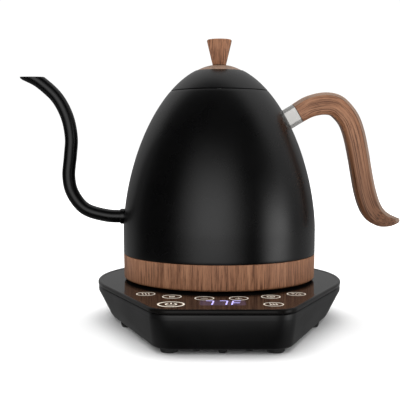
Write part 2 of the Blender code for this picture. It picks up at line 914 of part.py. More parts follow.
def make_spout(kettle):
    line = smooth_line(SPOUT_LINE, 2)
    along_start = (line[0] - line[1]).normalized()
    along_end = (line[-1] - line[-2]).normalized()
    overrun = 0.005
    bore_line = [line[0] + along_start * overrun, *line, line[-1] + along_end * overrun]
    spout = rod("spout_tube", line, SPOUT_R, kettle, SATIN_BLACK)
    bore = rod("spout_bore", bore_line, SPOUT_BORE_R, kettle, SATIN_BLACK)
    level = box(
        "spout_level_cut",
        (0.060, 0.040, 0.020),
        (-SPOUT_REACH, 0, SPOUT_CUT_Z + 0.010),
        kettle,
        SATIN_BLACK,
    )
    cut(spout, make_cutter(bore), make_cutter(level))
    collar = turned(
        "spout_collar",
        (
            (SPOUT_R + GAP + 0.0006, 0.0030),
            (SPOUT_R + GAP + 0.0006, -0.0080),
            (SPOUT_R + GAP, -0.0080),
            (SPOUT_R + GAP, 0.0030),
        ),
        kettle,
        SATIN_BLACK,
        (-BODY_R, 0, SPOUT_ROOT_Z),
        steps=20,
    )
    collar.rotation_euler = (0, -math.pi / 2, 0)
    return collar


def make_handle(kettle):
    """The steel ferrule against the body, the stud through it, and the wooden grip."""
    section = squared_profile(HANDLE_SQUARENESS, HANDLE_SIDES)
    ferrule = rod(
        "handle_ferrule",
        (FERRULE_START, FERRULE_END),
        FERRULE_R,
        kettle,
        POLISHED_STEEL,
        section,
    )
    grip = rod("handle_grip", GRIP_LINE, 1, kettle, WALNUT, section)
    start, end = Vector(FERRULE_START), Vector(FERRULE_END)
    along = (end - start).normalized()
    stud_end = start + along * STUD_LENGTH
    bore_end = stud_end + along * 0.0006
    stud = rod("handle_stud", (start, stud_end), STUD_R, kettle, BRUSHED_STEEL)
    bore = rod("handle_bore", (start, bore_end), STUD_R + GAP, kettle, BRUSHED_STEEL)
    make_cutter(bore)
    cut(ferrule, bore)
    cut(grip, bore)
    return ferrule, stud


# ---- Lid -------------------------------------------------------------------------------


def make_lid(lid):
    screw_hole_r = KNOB_SCREW_R + GAP
    dome = [(body_radius(z), z) for z in heights(0.2010, LID_Z, 7)]
    inside = [(body_radius(z) - 0.0018, z) for z in heights(LID_Z, LID_RECESS_Z - 0.0012, 4)]
    turned(
        "lid_shell",
        (
            (screw_hole_r, LID_RECESS_Z),
            (LID_RECESS_R, LID_RECESS_Z),
            *dome,
            *inside,
            (screw_hole_r, LID_RECESS_Z - 0.0012),
        ),
        lid,
        SATIN_BLACK,
        steps=LARGE_STEPS,
    )
    cap_bottom = LID_RECESS_Z + GAP
    cap_rows = [
        (cap_radius(z), z) for z in (0.2047, 0.2040, 0.2032, 0.2024, 0.2016)
    ]
    turned(
        "lid_cap",
        (
            (screw_hole_r, LID_CAP_TOP),
            (KNOB_FOOT_R, LID_CAP_TOP),
            *cap_rows,
            (LID_CAP_R, 0.2008),
            (LID_CAP_R, cap_bottom + 0.0003),
            (LID_CAP_R - 0.0003, cap_bottom),
            (screw_hole_r, cap_bottom),
        ),
        lid,
        WALNUT,
        steps=MEDIUM_STEPS,
    )
    knob_bottom = LID_CAP_TOP + GAP
    turned(
        "lid_knob",
        (
            (0, KNOB_TOP),
            (KNOB_TOP_R - 0.0030, KNOB_TOP - 0.0001),
            (KNOB_TOP_R - 0.0009, KNOB_TOP - 0.0005),
            (KNOB_TOP_R - 0.0001, KNOB_TOP - 0.0013),
            (KNOB_TOP_R, KNOB_TOP - 0.0026),
            (KNOB_FOOT_R, knob_bottom),
            (screw_hole_r, knob_bottom),
            (screw_hole_r, KNOB_BORE_TOP),
            (0, KNOB_BORE_TOP),
        ),
        lid,
        WALNUT,
        steps=MEDIUM_STEPS,
    )
    head_top = LID_PLATE_Z - GAP
    turned(
        "lid_knob_screw",
        (
            (0, KNOB_BORE_TOP - 0.0008),
            (KNOB_SCREW_R, KNOB_BORE_TOP - 0.0008),
            (KNOB_SCREW_R, head_top),
            (0.0038, head_top),
            (0.0032, head_top - 0.0020),
            (0, head_top - 0.0022),
        ),
        lid,
        BRUSHED_STEEL,
    )
    plate_top = LID_PLATE_Z + LID_PLATE_THICKNESS
    plate = turned(
        "lid_inner_plate",
        (
            (screw_hole_r, plate_top),
            (LID_PLATE_R, plate_top),
            (LID_PLATE_R, LID_PLATE_Z),
            (LID_SKIRT_R, LID_PLATE_Z),
            (LID_SKIRT_R, LID_SKIRT_BOTTOM),
            (LID_SKIRT_R - 0.0012, LID_SKIRT_BOTTOM),
            (LID_SKIRT_R - 0.0012, LID_PLATE_Z),
            (screw_hole_r, LID_PLATE_Z),
        ),
        lid,
        BRUSHED_STEEL,
        steps=LARGE_STEPS,
    )
    for index in range(3):
        angle = math.radians(90 + 120 * index)
        vent = cylinder(
            f"steam_vent_{index + 1}",
            0.0022,
            LID_PLATE_Z - 0.001,
            plate_top + 0.001,
            lid,
            BRUSHED_STEEL,
            (0.018 * math.cos(angle), 0.018 * math.sin(angle), 0),
            steps=10,
        )
        cut(plate, make_cutter(vent))
    seal_inner, seal_outer = LID_SKIRT_R + GAP, MOUTH_HOLE_R - 0.0004
    turned(
        "lid_seal",
        (
            (seal_inner + 0.0008, 0.1820),
            (seal_outer, 0.1808),
            (seal_inner + 0.0008, 0.1796),
            (seal_outer, 0.1784),
            (seal_inner + 0.0008, 0.1772),
            (seal_inner, 0.1772),
            (seal_inner, 0.1820),
        ),
        lid,
        SILICONE,
        steps=LARGE_STEPS,
    )


def cap_radius(z):
    """The wooden cap carries on the lid's dome, a little flatter."""
    return KNOB_FOOT_R + (LID_CAP_R - KNOB_FOOT_R) * ((LID_CAP_TOP - z) / 0.0045) ** 0.62


# ---- Assembly --------------------------------------------------------------------------


def main():
    base = add_empty("base_axis", (AXIS_X, AXIS_Y, 0))
    kettle = add_empty("kettle_axis", (AXIS_X, AXIS_Y, 0))
    lid = add_empty("lid_axis", (0, 0, 0), kettle)

    housing = make_base_shell(base)
    make_cord_gland(base, housing)
    make_socket(base)
    make_electronics(base)

    make_body_shell(kettle)
    make_floor_and_heater(kettle)
    make_element(kettle)
    make_kettle_connector(kettle)
    make_wood_band(kettle)
    collar = make_spout(kettle)
    ferrule, stud = make_handle(kettle)
    envelope = make_body_envelope(kettle)
    for piece in (collar, ferrule, stud):
        cut(piece, envelope)

    make_lid(lid)


for old in list(bpy.data.objects):
    bpy.data.objects.remove(old)
KETTLE_PARTS = new_collection("electric_kettle")
CUTTERS = new_collection("cutters")
main()
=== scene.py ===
"""Looks of the electric gooseneck kettle: fine surfaces, materials, light and camera.

Metres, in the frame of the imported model: +Z up, the front faces -Y, the spout points to
-X and the handle to +X. Each fine piece stands for the CAD node it is named after, and
rides on that node's body. Turned shapes are drawn round the kettle's upright axis.
"""

import json
import math

import bmesh
import bpy
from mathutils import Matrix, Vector

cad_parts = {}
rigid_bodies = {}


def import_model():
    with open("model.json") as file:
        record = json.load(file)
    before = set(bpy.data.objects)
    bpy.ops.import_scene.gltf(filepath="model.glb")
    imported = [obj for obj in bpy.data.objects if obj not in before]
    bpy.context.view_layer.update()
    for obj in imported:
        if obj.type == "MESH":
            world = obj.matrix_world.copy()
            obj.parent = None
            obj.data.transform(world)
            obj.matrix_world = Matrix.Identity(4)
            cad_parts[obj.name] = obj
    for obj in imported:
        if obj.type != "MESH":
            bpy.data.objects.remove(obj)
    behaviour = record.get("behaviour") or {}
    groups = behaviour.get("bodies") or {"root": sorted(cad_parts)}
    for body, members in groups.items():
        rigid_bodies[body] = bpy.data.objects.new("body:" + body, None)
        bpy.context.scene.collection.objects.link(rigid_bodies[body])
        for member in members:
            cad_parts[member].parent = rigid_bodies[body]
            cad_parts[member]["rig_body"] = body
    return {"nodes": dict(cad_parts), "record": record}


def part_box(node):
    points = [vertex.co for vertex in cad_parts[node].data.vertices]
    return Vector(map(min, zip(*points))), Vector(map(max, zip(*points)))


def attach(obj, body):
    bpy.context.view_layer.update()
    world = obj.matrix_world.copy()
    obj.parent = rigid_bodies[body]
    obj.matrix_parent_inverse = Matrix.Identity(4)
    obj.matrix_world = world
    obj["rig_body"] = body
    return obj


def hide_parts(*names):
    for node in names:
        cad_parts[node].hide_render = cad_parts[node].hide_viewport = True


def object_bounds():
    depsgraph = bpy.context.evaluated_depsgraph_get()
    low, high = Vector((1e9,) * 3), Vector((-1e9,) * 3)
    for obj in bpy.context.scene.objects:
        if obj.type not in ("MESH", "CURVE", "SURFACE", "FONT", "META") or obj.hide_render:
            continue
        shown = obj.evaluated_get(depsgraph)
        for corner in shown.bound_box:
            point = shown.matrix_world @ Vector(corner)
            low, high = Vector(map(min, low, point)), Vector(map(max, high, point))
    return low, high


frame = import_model()
CAD_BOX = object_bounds()
SLOT_OF = {row["node"]: row["material_slot"] for row in frame["record"]["subparts"]}
BODY_OF = {node: piece["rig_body"] for node, piece in frame["nodes"].items()}


# ---- Sizes from the frame ----

def low(node):
    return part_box(node)[0]


def high(node):
    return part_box(node)[1]


def half_width(node):
    return (high(node).x - low(node).x) / 2


# The kettle's upright axis, at the height of the table.
AXIS = (Vector(low("body_shell")) + Vector(high("body_shell"))) / 2
AXIS.z = 0

# The base's heights, and the reaches and tapers of its outline.
PLATE_BOTTOM = low("base_top_plate").z
PLATE_RIM = 0.0004
PLATE_TOP = high("base_top_plate").z - PLATE_RIM
HOUSING_TOP = high("base_housing").z
HOUSING_BOTTOM = low("base_housing").z
BASE_BACK_REACH = high("base_top_plate").y - AXIS.y
BASE_FRONT_REACH = AXIS.y - low("base_top_plate").y
FRONT_HALF_WIDTH = 0.046
FRONT_CORNER_R = 0.018
HOUSING_INSET = 0.0004
HOUSING_WALL = 0.0026
HOUSING_BACK_TAPER = 0.0098
HOUSING_FRONT_TAPER = 0.0020
HOUSING_BAND = 0.0038

# The kettle's outer curve, and the mouth that the lid closes.
BODY_R = 0.0783
BODY_WIDEST_Z = 0.073
BODY_APEX_Z = 0.206
BODY_TUCK = 0.0020
BODY_RISE_POWER = 1.70
BODY_SIDE_POWER = 1.98
BODY_WALL = 0.0014
MOUTH_Z = high("body_shell").z
MOUTH_LEDGE_Z = MOUTH_Z - 0.0020
MOUTH_LEDGE_R = 0.0383
MOUTH_HOLE_R = 0.0346
BAND_TOP = high("wood_band").z
BAND_BOTTOM = low("wood_band").z
BODY_FLOOR_Z = 0.0545
GAP = 0.0003

# The spout's (x, z) points from its root to past the cut of its mouth.
SPOUT_R = 0.0053
SPOUT_BORE_R = 0.0040
SPOUT_CUT_Z = high("spout_tube").z
SPOUT_ROOT_Z = 0.0823
SPOUT_LINE = (
    (-0.0755, SPOUT_ROOT_Z), (-0.0920, 0.0829), (-0.1099, 0.0884), (-0.1202, 0.1010),
    (-0.1234, 0.1150), (-0.1219, 0.1320), (-0.1210, 0.1470), (-0.1243, 0.1640),
    (-0.1325, 0.1795), (-0.1456, 0.1917), (-0.1552, 0.1970), (-0.1620, 0.2000), (-0.1720, 0.2035),
)

# The grip's (x, z, half thickness) points from the ferrule to its tail.
FERRULE_START = (0.0500, 0.1584)
FERRULE_END = (0.0634, 0.1664)
FERRULE_R = 0.0083
GRIP_LINE = (
    (0.0637, 0.1666, 0.0083), (0.0680, 0.1692, 0.0085), (0.0741, 0.1722, 0.0088),
    (0.0839, 0.1743, 0.0089), (0.0922, 0.1737, 0.0088), (0.0982, 0.1702, 0.0086),
    (0.1051, 0.1618, 0.0084), (0.1095, 0.1509, 0.0083), (0.1131, 0.1353, 0.0082),
    (0.1166, 0.1159, 0.0082), (0.1193, 0.1030, 0.0083), (0.1227, 0.0923, 0.0083),
    (0.1268, 0.0853, 0.0080), (0.1322, 0.0811, 0.0071), (0.1382, 0.0792, 0.0055),
    (0.1436, 0.0788, 0.0036), (0.1485, 0.0791, 0.0014),
)
HANDLE_CHAMFER = 0.0026

# The screw hole through the lid, the recess for its cap, and the narrow foot of its knob.
LID_BORE_R = 0.0022
CAP_RECESS_R = 0.0193
CAP_RECESS_Z = 0.1990
KNOB_FOOT_R = 0.0055

# The connector cup under the kettle, and the contacts of the socket below it.
CUP_INNER_R = 0.0196
CUP_OUTER_R = 0.0228
PIN_HOLE_R = 0.0034
GROOVE_INNER_R = 0.0078
GROOVE_OUTER_R = 0.0108

# The printed rings, in an arc and in a row in front of it, and the display in that row.
ICON_ARC_R = 0.0945
ICON_R = 0.0071
ICON_STROKE = 0.00075
POWER_R = 0.0096
POWER_STROKE = 0.0013
ICON_ROW_X = 0.0355
ICON_ROW_Y = -0.1163
PRINT_HEIGHT = 0.00008
DISPLAY_X = 0.0004
DISPLAY_Y = -0.1108

# Strengths of the world: on surfaces, and behind the object.
AMBIENT_LIGHT = 0.80
BACKDROP = 1.05

# Steps round a turned piece, by its size.
FINE = 144
MEDIUM = 96
SMALL = 48


# ---- Node material helpers ----

def feed(tree, socket, value):
    """Link another node's output to a socket, or set the socket's constant."""
    if isinstance(value, bpy.types.NodeSocket):
        tree.links.new(value, socket)
    else:
        socket.default_value = value


def add_node(tree, kind, **values):
    """A node whose sockets or properties take the given values or links."""
    node = tree.nodes.new(kind)
    for key, value in values.items():
        socket = key.replace("_", " ")
        if socket in node.inputs:
            feed(tree, node.inputs[socket], value)
        else:
            setattr(node, key, value)
    return node


class Paint:
    """A Principled material with short calls for the nodes that vary it."""

    def __init__(self, name, colour, roughness, metallic=0.0):
        self.material = bpy.data.materials.new(name)
        self.material.use_nodes = True
        self.tree = self.material.node_tree
        self.shader = self.tree.nodes["Principled BSDF"]
        self.set("Base Color", (*colour, 1))
        self.set("Roughness", roughness)
        self.set("Metallic", metallic)

    def set(self, socket, value):
        """Set or link a socket of the shader."""
        feed(self.tree, self.shader.inputs[socket], value)

    def node(self, kind, **values):
        return add_node(self.tree, kind, **values)

    def stretched(self, place, stretch):
        return self.node("ShaderNodeMapping", Vector=place, Scale=stretch).outputs["Vector"]

    def object_place(self, stretch=(1, 1, 1)):
        return self.stretched(self.node("ShaderNodeTexCoord").outputs["Object"], stretch)

    def grain_place(self, stretch=(1, 1, 1)):
        grain = self.node("ShaderNodeAttribute", attribute_name="grain")
        return self.stretched(grain.outputs["Vector"], stretch)

    def noise(self, place, scale, detail=3.0, roughness=0.5, distortion=0.0):
        noise = self.node("ShaderNodeTexNoise", Vector=place, Scale=scale, Detail=detail,
                          Roughness=roughness, Distortion=distortion)
        return noise.outputs["Fac"]

    def ramp(self, factor, stops):
        """Colours at places from 0 to 1, given as (place, colour)."""
        ramp = self.node("ShaderNodeValToRGB")
        elements = ramp.color_ramp.elements
        while len(elements) < len(stops):
            elements.new(0.5)
        for element, (place, colour) in zip(elements, stops):
            element.position = place
            element.color = (*colour, 1)
        feed(self.tree, ramp.inputs["Fac"], factor)
        return ramp.outputs["Color"]

    def spread(self, factor, to_low, to_high, from_low=0.3, from_high=0.7):
        """The factor stretched from one range to another, and held inside it."""
        spread = self.node("ShaderNodeMapRange", Value=factor, From_Min=from_low,
                           From_Max=from_high, To_Min=to_low, To_Max=to_high)
        return spread.outputs["Result"]

    def blend(self, factor, first, second, mode="MIX"):
        """Two colours mixed. Each value is another node's output or a constant."""
        mix = self.node("ShaderNodeMix", data_type="RGBA", blend_type=mode, Factor=factor)
        first_socket, second_socket = mix.inputs[6], mix.inputs[7]
        for socket, colour in ((first_socket, first), (second_socket, second)):
            feed(self.tree, socket, (*colour, 1) if isinstance(colour, tuple) else colour)
        return mix.outputs[2]

    def multiply(self, first, second):
        return self.blend(1.0, first, second, "MULTIPLY")

    def finish(self, colour=None, roughness=None, bump=None, bump_strength=0.1, bump_depth=0.0001):
        """Links what was made to the shader and gives back the material."""
        if colour is not None:
            self.set("Base Color", colour)
        if roughness is not None:
            self.set("Roughness", roughness)
        if bump is not None:
            node = self.node("ShaderNodeBump", Height=bump, Strength=bump_strength,
                             Distance=bump_depth)
            self.set("Normal", node.outputs["Normal"])
        return self.material


# ---- Materials ----

def powder_coat(name, colour, roughness, texture_scale, bump_strength):
    """Satin black: a fine even texture, with roughness that wanders a little."""
    paint = Paint(name, colour, roughness)
    place = paint.object_place()
    texture = paint.noise(place, texture_scale, detail=2.0)
    patches = paint.noise(place, 30, detail=4.0)
    light = tuple(channel * 1.5 for channel in colour)
    shade = paint.ramp(patches, ((0.35, colour), (0.65, light)))
    rough = paint.spread(patches, roughness - 0.03, roughness + 0.03)
    return paint.finish(shade, rough, texture, bump_strength, 0.00006)


WOOD_TONES = (
    (0.25, (0.190, 0.082, 0.039)), (0.50, (0.290, 0.134, 0.068)), (0.75, (0.355, 0.178, 0.096)),
)
WOOD_LINES = ((0.39, (0.30, 0.23, 0.18)), (0.48, (0.84, 0.79, 0.75)), (0.60, (1.0, 1.0, 1.0)))
PORE_TINT = (0.6, 0.53, 0.48)
# Pale grey of the painted sheen on walnut: it stands for the light above reflected in the wood.
PAINTED_SHEEN_GREY = (0.34, 0.29, 0.24)


def walnut(name, brightness=1.0, painted_sheen=0.0, darker_end=None):
    """Oiled walnut. The grain attribute runs along its first axis, in metres.

    darker_end is (start, end, share): the wood deepens to that share along the grain."""
    paint = Paint(name, (0.25, 0.12, 0.065), 0.45)
    wander = paint.noise(paint.grain_place((9, 260, 260)), 1.0, detail=3.0, distortion=0.4)
    streaks = paint.noise(paint.grain_place((14, 1650, 1650)), 1.0, detail=4.0, roughness=0.6)
    pores = paint.noise(paint.grain_place((160, 3200, 3200)), 1.0, detail=2.0)
    pore_depth = paint.spread(pores, 0.0, 1.0, 0.34, 0.42)
    tones = [(place, tuple(brightness * part for part in tone)) for place, tone in WOOD_TONES]
    shade = paint.multiply(paint.ramp(wander, tones), paint.ramp(streaks, WOOD_LINES))
    shade = paint.blend(pore_depth, paint.multiply(shade, PORE_TINT), shade)
    if darker_end:
        shade = deepen(paint, shade, *darker_end)
    # painted_sheen mixes the pale grey in along the streaks: a painted sheen standing for reflected
    # light, not a change in the wood.
    if painted_sheen:
        amount = paint.spread(streaks, painted_sheen * 0.8, painted_sheen * 1.1)
        shade = paint.blend(amount, shade, PAINTED_SHEEN_GREY)
    rough = paint.spread(streaks, 0.58, 0.42)
    return paint.finish(shade, rough, pore_depth, 0.25, 0.0001)


def deepen(paint, shade, start, end, share):
    """The shade, darker and a little redder further along the grain."""
    along = paint.node("ShaderNodeSeparateXYZ", Vector=paint.grain_place())
    progress = paint.spread(along.outputs["X"], 0.0, 1.0, start, end)
    return paint.blend(progress, shade, paint.multiply(shade, (share, share * 0.94, share * 0.86)))


def gloss_plate(name):
    """A glossy black panel with faint wiping marks."""
    paint = Paint(name, (0.004, 0.0036, 0.0035), 0.05)
    place = paint.object_place((1, 3.5, 1))
    marks = paint.noise(place, 22, detail=5.0, distortion=1.2)
    rough = paint.spread(marks, 0.07, 0.13)
    shade = paint.ramp(marks, ((0.3, (0.0035, 0.0032, 0.0030)), (0.7, (0.0055, 0.0050, 0.0048))))
    paint.set("Specular IOR Level", 0.15)
    return paint.finish(shade, rough)


def moulded(name, colour, roughness, texture_scale=1600, depth=0.00005):
    """Spark-eroded plastic or rubber: even grain and faint flow shades."""
    paint = Paint(name, colour, roughness)
    place = paint.object_place()
    texture = paint.noise(place, texture_scale, detail=3.0)
    flow = paint.noise(place, 18, detail=3.0, distortion=0.8)
    light = tuple(channel * 1.35 for channel in colour)
    shade = paint.ramp(flow, ((0.3, colour), (0.7, light)))
    rough = paint.spread(flow, roughness - 0.04, roughness + 0.04)
    return paint.finish(shade, rough, texture, 0.35, depth)


def metal(name, colour, roughness, stretch=(60, 60, 2500), bump_strength=0.12, metallic=1.0):
    """Metal with fine parallel brushing: stretch sets which way the lines run."""
    paint = Paint(name, colour, roughness, metallic)
    lines = paint.noise(paint.object_place(stretch), 1.0, detail=3.0)
    stains = paint.noise(paint.object_place(), 45, detail=4.0)
    rough = paint.spread(lines, roughness * 0.75, roughness * 1.3)
    dark = tuple(channel * 0.86 for channel in colour)
    shade = paint.ramp(stains, ((0.32, dark), (0.6, colour)))
    return paint.finish(shade, rough, lines, bump_strength, 0.00003)


def circuit_board(name):
    """Green solder mask over copper tracks, with tinned pads."""
    paint = Paint(name, (0.03, 0.16, 0.07), 0.4)
    place = paint.object_place()
    tracks = paint.node(
        "ShaderNodeTexBrick",
        Vector=place,
        Scale=160.0,
        Mortar_Size=0.035,
        Color1=(0.022, 0.13, 0.055, 1),
        Color2=(0.030, 0.17, 0.075, 1),
        Mortar=(0.06, 0.26, 0.11, 1),
    )
    pads = paint.node("ShaderNodeTexVoronoi", Vector=place, Scale=260.0)
    is_pad = paint.spread(pads.outputs["Distance"], 1.0, 0.0, 0.16, 0.20)
    shade = paint.blend(is_pad, tracks.outputs["Color"], (0.62, 0.62, 0.58))
    rough = paint.spread(is_pad, 0.45, 0.25, 0.0, 1.0)
    return paint.finish(shade, rough, is_pad, 0.3, 0.0001)


def silicone(name):
    paint = Paint(name, (0.72, 0.72, 0.69), 0.42)
    paint.set("Subsurface Weight", 0.3)
    paint.set("Subsurface Radius", (0.004, 0.003, 0.003))
    cloud = paint.noise(paint.object_place(), 120, detail=3.0)
    shade = paint.ramp(cloud, ((0.3, (0.66, 0.66, 0.63)), (0.7, (0.78, 0.78, 0.75))))
    return paint.finish(shade, paint.spread(cloud, 0.36, 0.48), cloud, 0.1, 0.00005)


def printed(name):
    """Cream ink of the touch symbols, lit faintly from behind."""
    paint = Paint(name, (0.80, 0.72, 0.60), 0.5)
    grain = paint.noise(paint.object_place(), 900, detail=2.0)
    shade = paint.ramp(grain, ((0.3, (0.72, 0.64, 0.53)), (0.7, (0.86, 0.79, 0.68))))
    paint.set("Emission Color", shade)
    paint.set("Emission Strength", 0.16)
    return paint.finish(shade, paint.spread(grain, 0.42, 0.55))


def lit_digits(name, colour, strength):
    """A lit display: bright strokes, or the dim glow of the window round them."""
    paint = Paint(name, (0.02, 0.02, 0.05), 0.2)
    cells = paint.noise(paint.object_place(), 700, detail=1.0)
    low_glow = tuple(channel * 0.75 for channel in colour)
    shade = paint.ramp(cells, ((0.3, low_glow), (0.7, colour)))
    paint.set("Emission Color", shade)
    paint.set("Emission Strength", strength)
    return paint.finish()


MATERIALS = {
    "painted_black_steel": powder_coat(
        "satin_black_paint", (0.0010, 0.0010, 0.0011), 0.28, 2600, 0.10
    ),
    "satin_black_plastic": moulded(
        "satin_black_plastic", (0.0022, 0.0022, 0.0024), 0.36, 2200, 0.00004
    ),
    "gloss_black_plate": gloss_plate("gloss_black_panel"),
    "matt_black_plastic": moulded("matt_black_plastic", (0.012, 0.012, 0.013), 0.55),
    "black_screw": powder_coat("black_screw", (0.012, 0.012, 0.012), 0.35, 3000, 0.2),
    "walnut": walnut("oiled_walnut", 1.30),
    "polished_steel": metal(
        "polished_steel", (0.55, 0.54, 0.52), 0.16, (900, 900, 60), 0.03, metallic=0.55
    ),
    "steel": metal("brushed_steel", (0.60, 0.60, 0.59), 0.30),
    "aluminium": metal("aluminium", (0.74, 0.75, 0.76), 0.38, (300, 2500, 300)),
    "brass": metal("brass", (0.78, 0.57, 0.25), 0.26, (2500, 300, 300)),
    "silicone": silicone("white_silicone"),
    "rubber": moulded("black_rubber", (0.016, 0.016, 0.016), 0.72, 1200, 0.0001),
    "circuit_board": circuit_board("circuit_board"),
    "display": lit_digits("display_glass", (0.10, 0.09, 0.30), 0.4),
}
STEEL_INSIDE = metal("steel_lining", (0.55, 0.55, 0.54), 0.28, (120, 120, 3000), 0.2)
WALNUT_GRIP = walnut("walnut_grip", 1.15, darker_end=(0.04, 0.15, 0.50))
# Lighter, greyer walnut for the grip's upper chamfers: a painted sheen where the light above would
# reflect.
WALNUT_SHEEN_EDGE = walnut("walnut_painted_sheen_edge", 0.85, painted_sheen=0.36, darker_end=(0.05, 0.17, 0.66))
# The cap's walnut is greyed all over by a painted sheen, standing for reflected light.
WALNUT_CAP = walnut("walnut_cap", 0.85, painted_sheen=0.35)
PRINT = printed("cream_print")
DIGITS = lit_digits("display_digits", (0.44, 0.40, 0.84), 2.0)
GLOW = lit_digits("display_glow", (0.04, 0.03, 0.09), 0.15)


# ---- Mesh helpers ----

def add_piece(name, mesh, node=None, slot=None, material=None, body=None):
    """Link a piece. It takes the body, slot and material of the CAD node it stands for."""
    slot = slot or SLOT_OF[node]
    mesh.name = name
    mesh.shade_smooth()
    mesh.set_sharp_from_angle(angle=math.radians(32))
    for face in mesh.polygons:
        face.use_smooth = len(face.vertices) <= 4
    piece = bpy.data.objects.new(name, mesh)
    bpy.context.scene.collection.objects.link(piece)
    mesh.materials.append(material or MATERIALS[slot])
    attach(piece, body or BODY_OF[node])
    if node:
        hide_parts(node)
    return piece


def close_mesh(shape):
    """The mesh of a bmesh, its faces facing out and inside the CAD model's box."""
    bmesh.ops.recalc_face_normals(shape, faces=shape.faces)
    lowest, highest = CAD_BOX
    for vertex in shape.verts:
        for axis in range(3):
            vertex.co[axis] = min(max(vertex.co[axis], lowest[axis]), highest[axis])
    mesh = bpy.data.meshes.new("piece")
    shape.to_mesh(mesh)
    shape.free()
    return mesh


def add_skin(shape, rings, is_loop=False, has_ends=False):
    """Faces over rings of places in turn. A loop also joins the last ring to the first."""
    rings = [[shape.verts.new(place) for place in ring] for ring in rings]
    for first, second in zip(rings, rings[1:] + rings[:1] if is_loop else rings[1:]):
        bridge(shape, first, second)
    if has_ends:
        shape.faces.new(rings[0])
        shape.faces.new(rings[-1])


def skin(rings, **options):
    """The closed mesh of a skin over rings of places."""
    shape = bmesh.new()
    add_skin(shape, rings, **options)
    return close_mesh(shape)


def softened(points, radius, closed, steps=3):
    """The points with each real corner rounded, on tuples of any length."""
    count = len(points)
    most = 0.45
    result = []
    for index, point in enumerate(points):
        corner = Vector(point)
        before = Vector(points[index - 1]) - corner
        after = Vector(points[(index + 1) % count]) - corner
        is_end = not closed and index in (0, count - 1)
        if is_end or math.pi - before.angle(after) < math.radians(15):
            result.append(tuple(point))
            continue
        start = corner + before.normalized() * min(radius, most * before.length)
        end = corner + after.normalized() * min(radius, most * after.length)
        for step in range(steps + 1):
            t = step / steps
            result.append(tuple(start * (1 - t) ** 2 + corner * 2 * t * (1 - t) + end * t**2))
    return result


def circle(radius, count):
    """Evenly spaced points round a circle, or its middle alone if it has no radius."""
    angles = [2 * math.pi * step / count for step in range(count if radius > 0 else 1)]
    return [(radius * math.cos(angle), radius * math.sin(angle)) for angle in angles]


def arc(centre, radius, start, end, steps=32):
    """Points on an arc, in degrees anticlockwise from the right."""
    points = []
    for step in range(steps + 1):
        angle = math.radians(start + (end - start) * step / steps)
        points.append((centre[0] + radius * math.cos(angle), centre[1] + radius * math.sin(angle)))
    return points


def bridge(shape, first, second):
    """Faces between two rings of vertices, either of which may be a single vertex."""
    for i in range(max(len(first), len(second))):
        if len(first) == len(second):
            corners = (first[i - 1], first[i], second[i], second[i - 1])
        elif len(first) == 1:
            corners = (first[0], second[i], second[i - 1])
        else:
            corners = (first[i - 1], first[i], second[0])
        shape.faces.new(corners)


def lathe(name, node, profile, rounding=0.0003, segments=MEDIUM, centre=(0, 0), **options):
    """Turn (radius, height) points round an upright axis, with rounded corners.

    A profile that starts off the axis is a ring, and closes on itself."""
    is_ring = profile[0][0] > 0
    x, y = AXIS.x + centre[0], AXIS.y + centre[1]
    rings = []
    for radius, height in softened(profile, rounding, is_ring):
        rings.append([(x + u, y + v, height) for u, v in circle(radius, segments)])
    return add_piece(name, skin(rings, is_loop=is_ring), node, **options)


def store_grain(piece, places):
    """Give each vertex its place in the wood: along the grain, then across it."""
    attribute = piece.data.attributes.new("grain", "FLOAT_VECTOR", "POINT")
    for value, place in zip(attribute.data, places):
        value.vector = place


def set_grain(piece, grain_of):
    store_grain(piece, [grain_of(vertex.co - AXIS) for vertex in piece.data.vertices])


def smooth_line(points, spans):
    """Catmull-Rom points through the given ones, with spans pieces between each pair."""
    vectors = [Vector(point) for point in points]
    padded = [2 * vectors[0] - vectors[1], *vectors, 2 * vectors[-1] - vectors[-2]]
    line = []
    for before, start, end, after in zip(padded, padded[1:], padded[2:], padded[3:]):
        slope = end - before
        bend = 2 * before - 5 * start + 4 * end - after
        twist = 3 * start - before - 3 * end + after
        for step in range(spans):
            t = step / spans
            line.append(0.5 * (2 * start + slope * t + bend * t**2 + twist * t**3))
    return line + [vectors[-1]]


def across(line, index):
    """Unit direction across a line in the spout's plane, at one of its points."""
    start, end = line[max(index - 1, 0)], line[min(index + 1, len(line) - 1)]
    along = Vector((end[0] - start[0], end[1] - start[1])).normalized()
    return Vector((-along[1], along[0]))


# ---- Kettle ----

def body_radius(z):
    """Outer radius of the kettle and its lid at a height."""
    if z <= BODY_WIDEST_Z:
        return BODY_R - BODY_TUCK * ((BODY_WIDEST_Z - z) / BODY_WIDEST_Z) ** 2
    rise = (z - BODY_WIDEST_Z) / (BODY_APEX_Z - BODY_WIDEST_Z)
    return BODY_R * (1 - rise**BODY_RISE_POWER) ** (1 / BODY_SIDE_POWER)


def body_curve(start, end, count, depth=0.0):
    """Points of the outer curve between two heights, or of one that far inside it."""
    heights = [start + (end - start) * i / (count - 1) for i in range(count)]
    return [(body_radius(z) - depth, z) for z in heights]


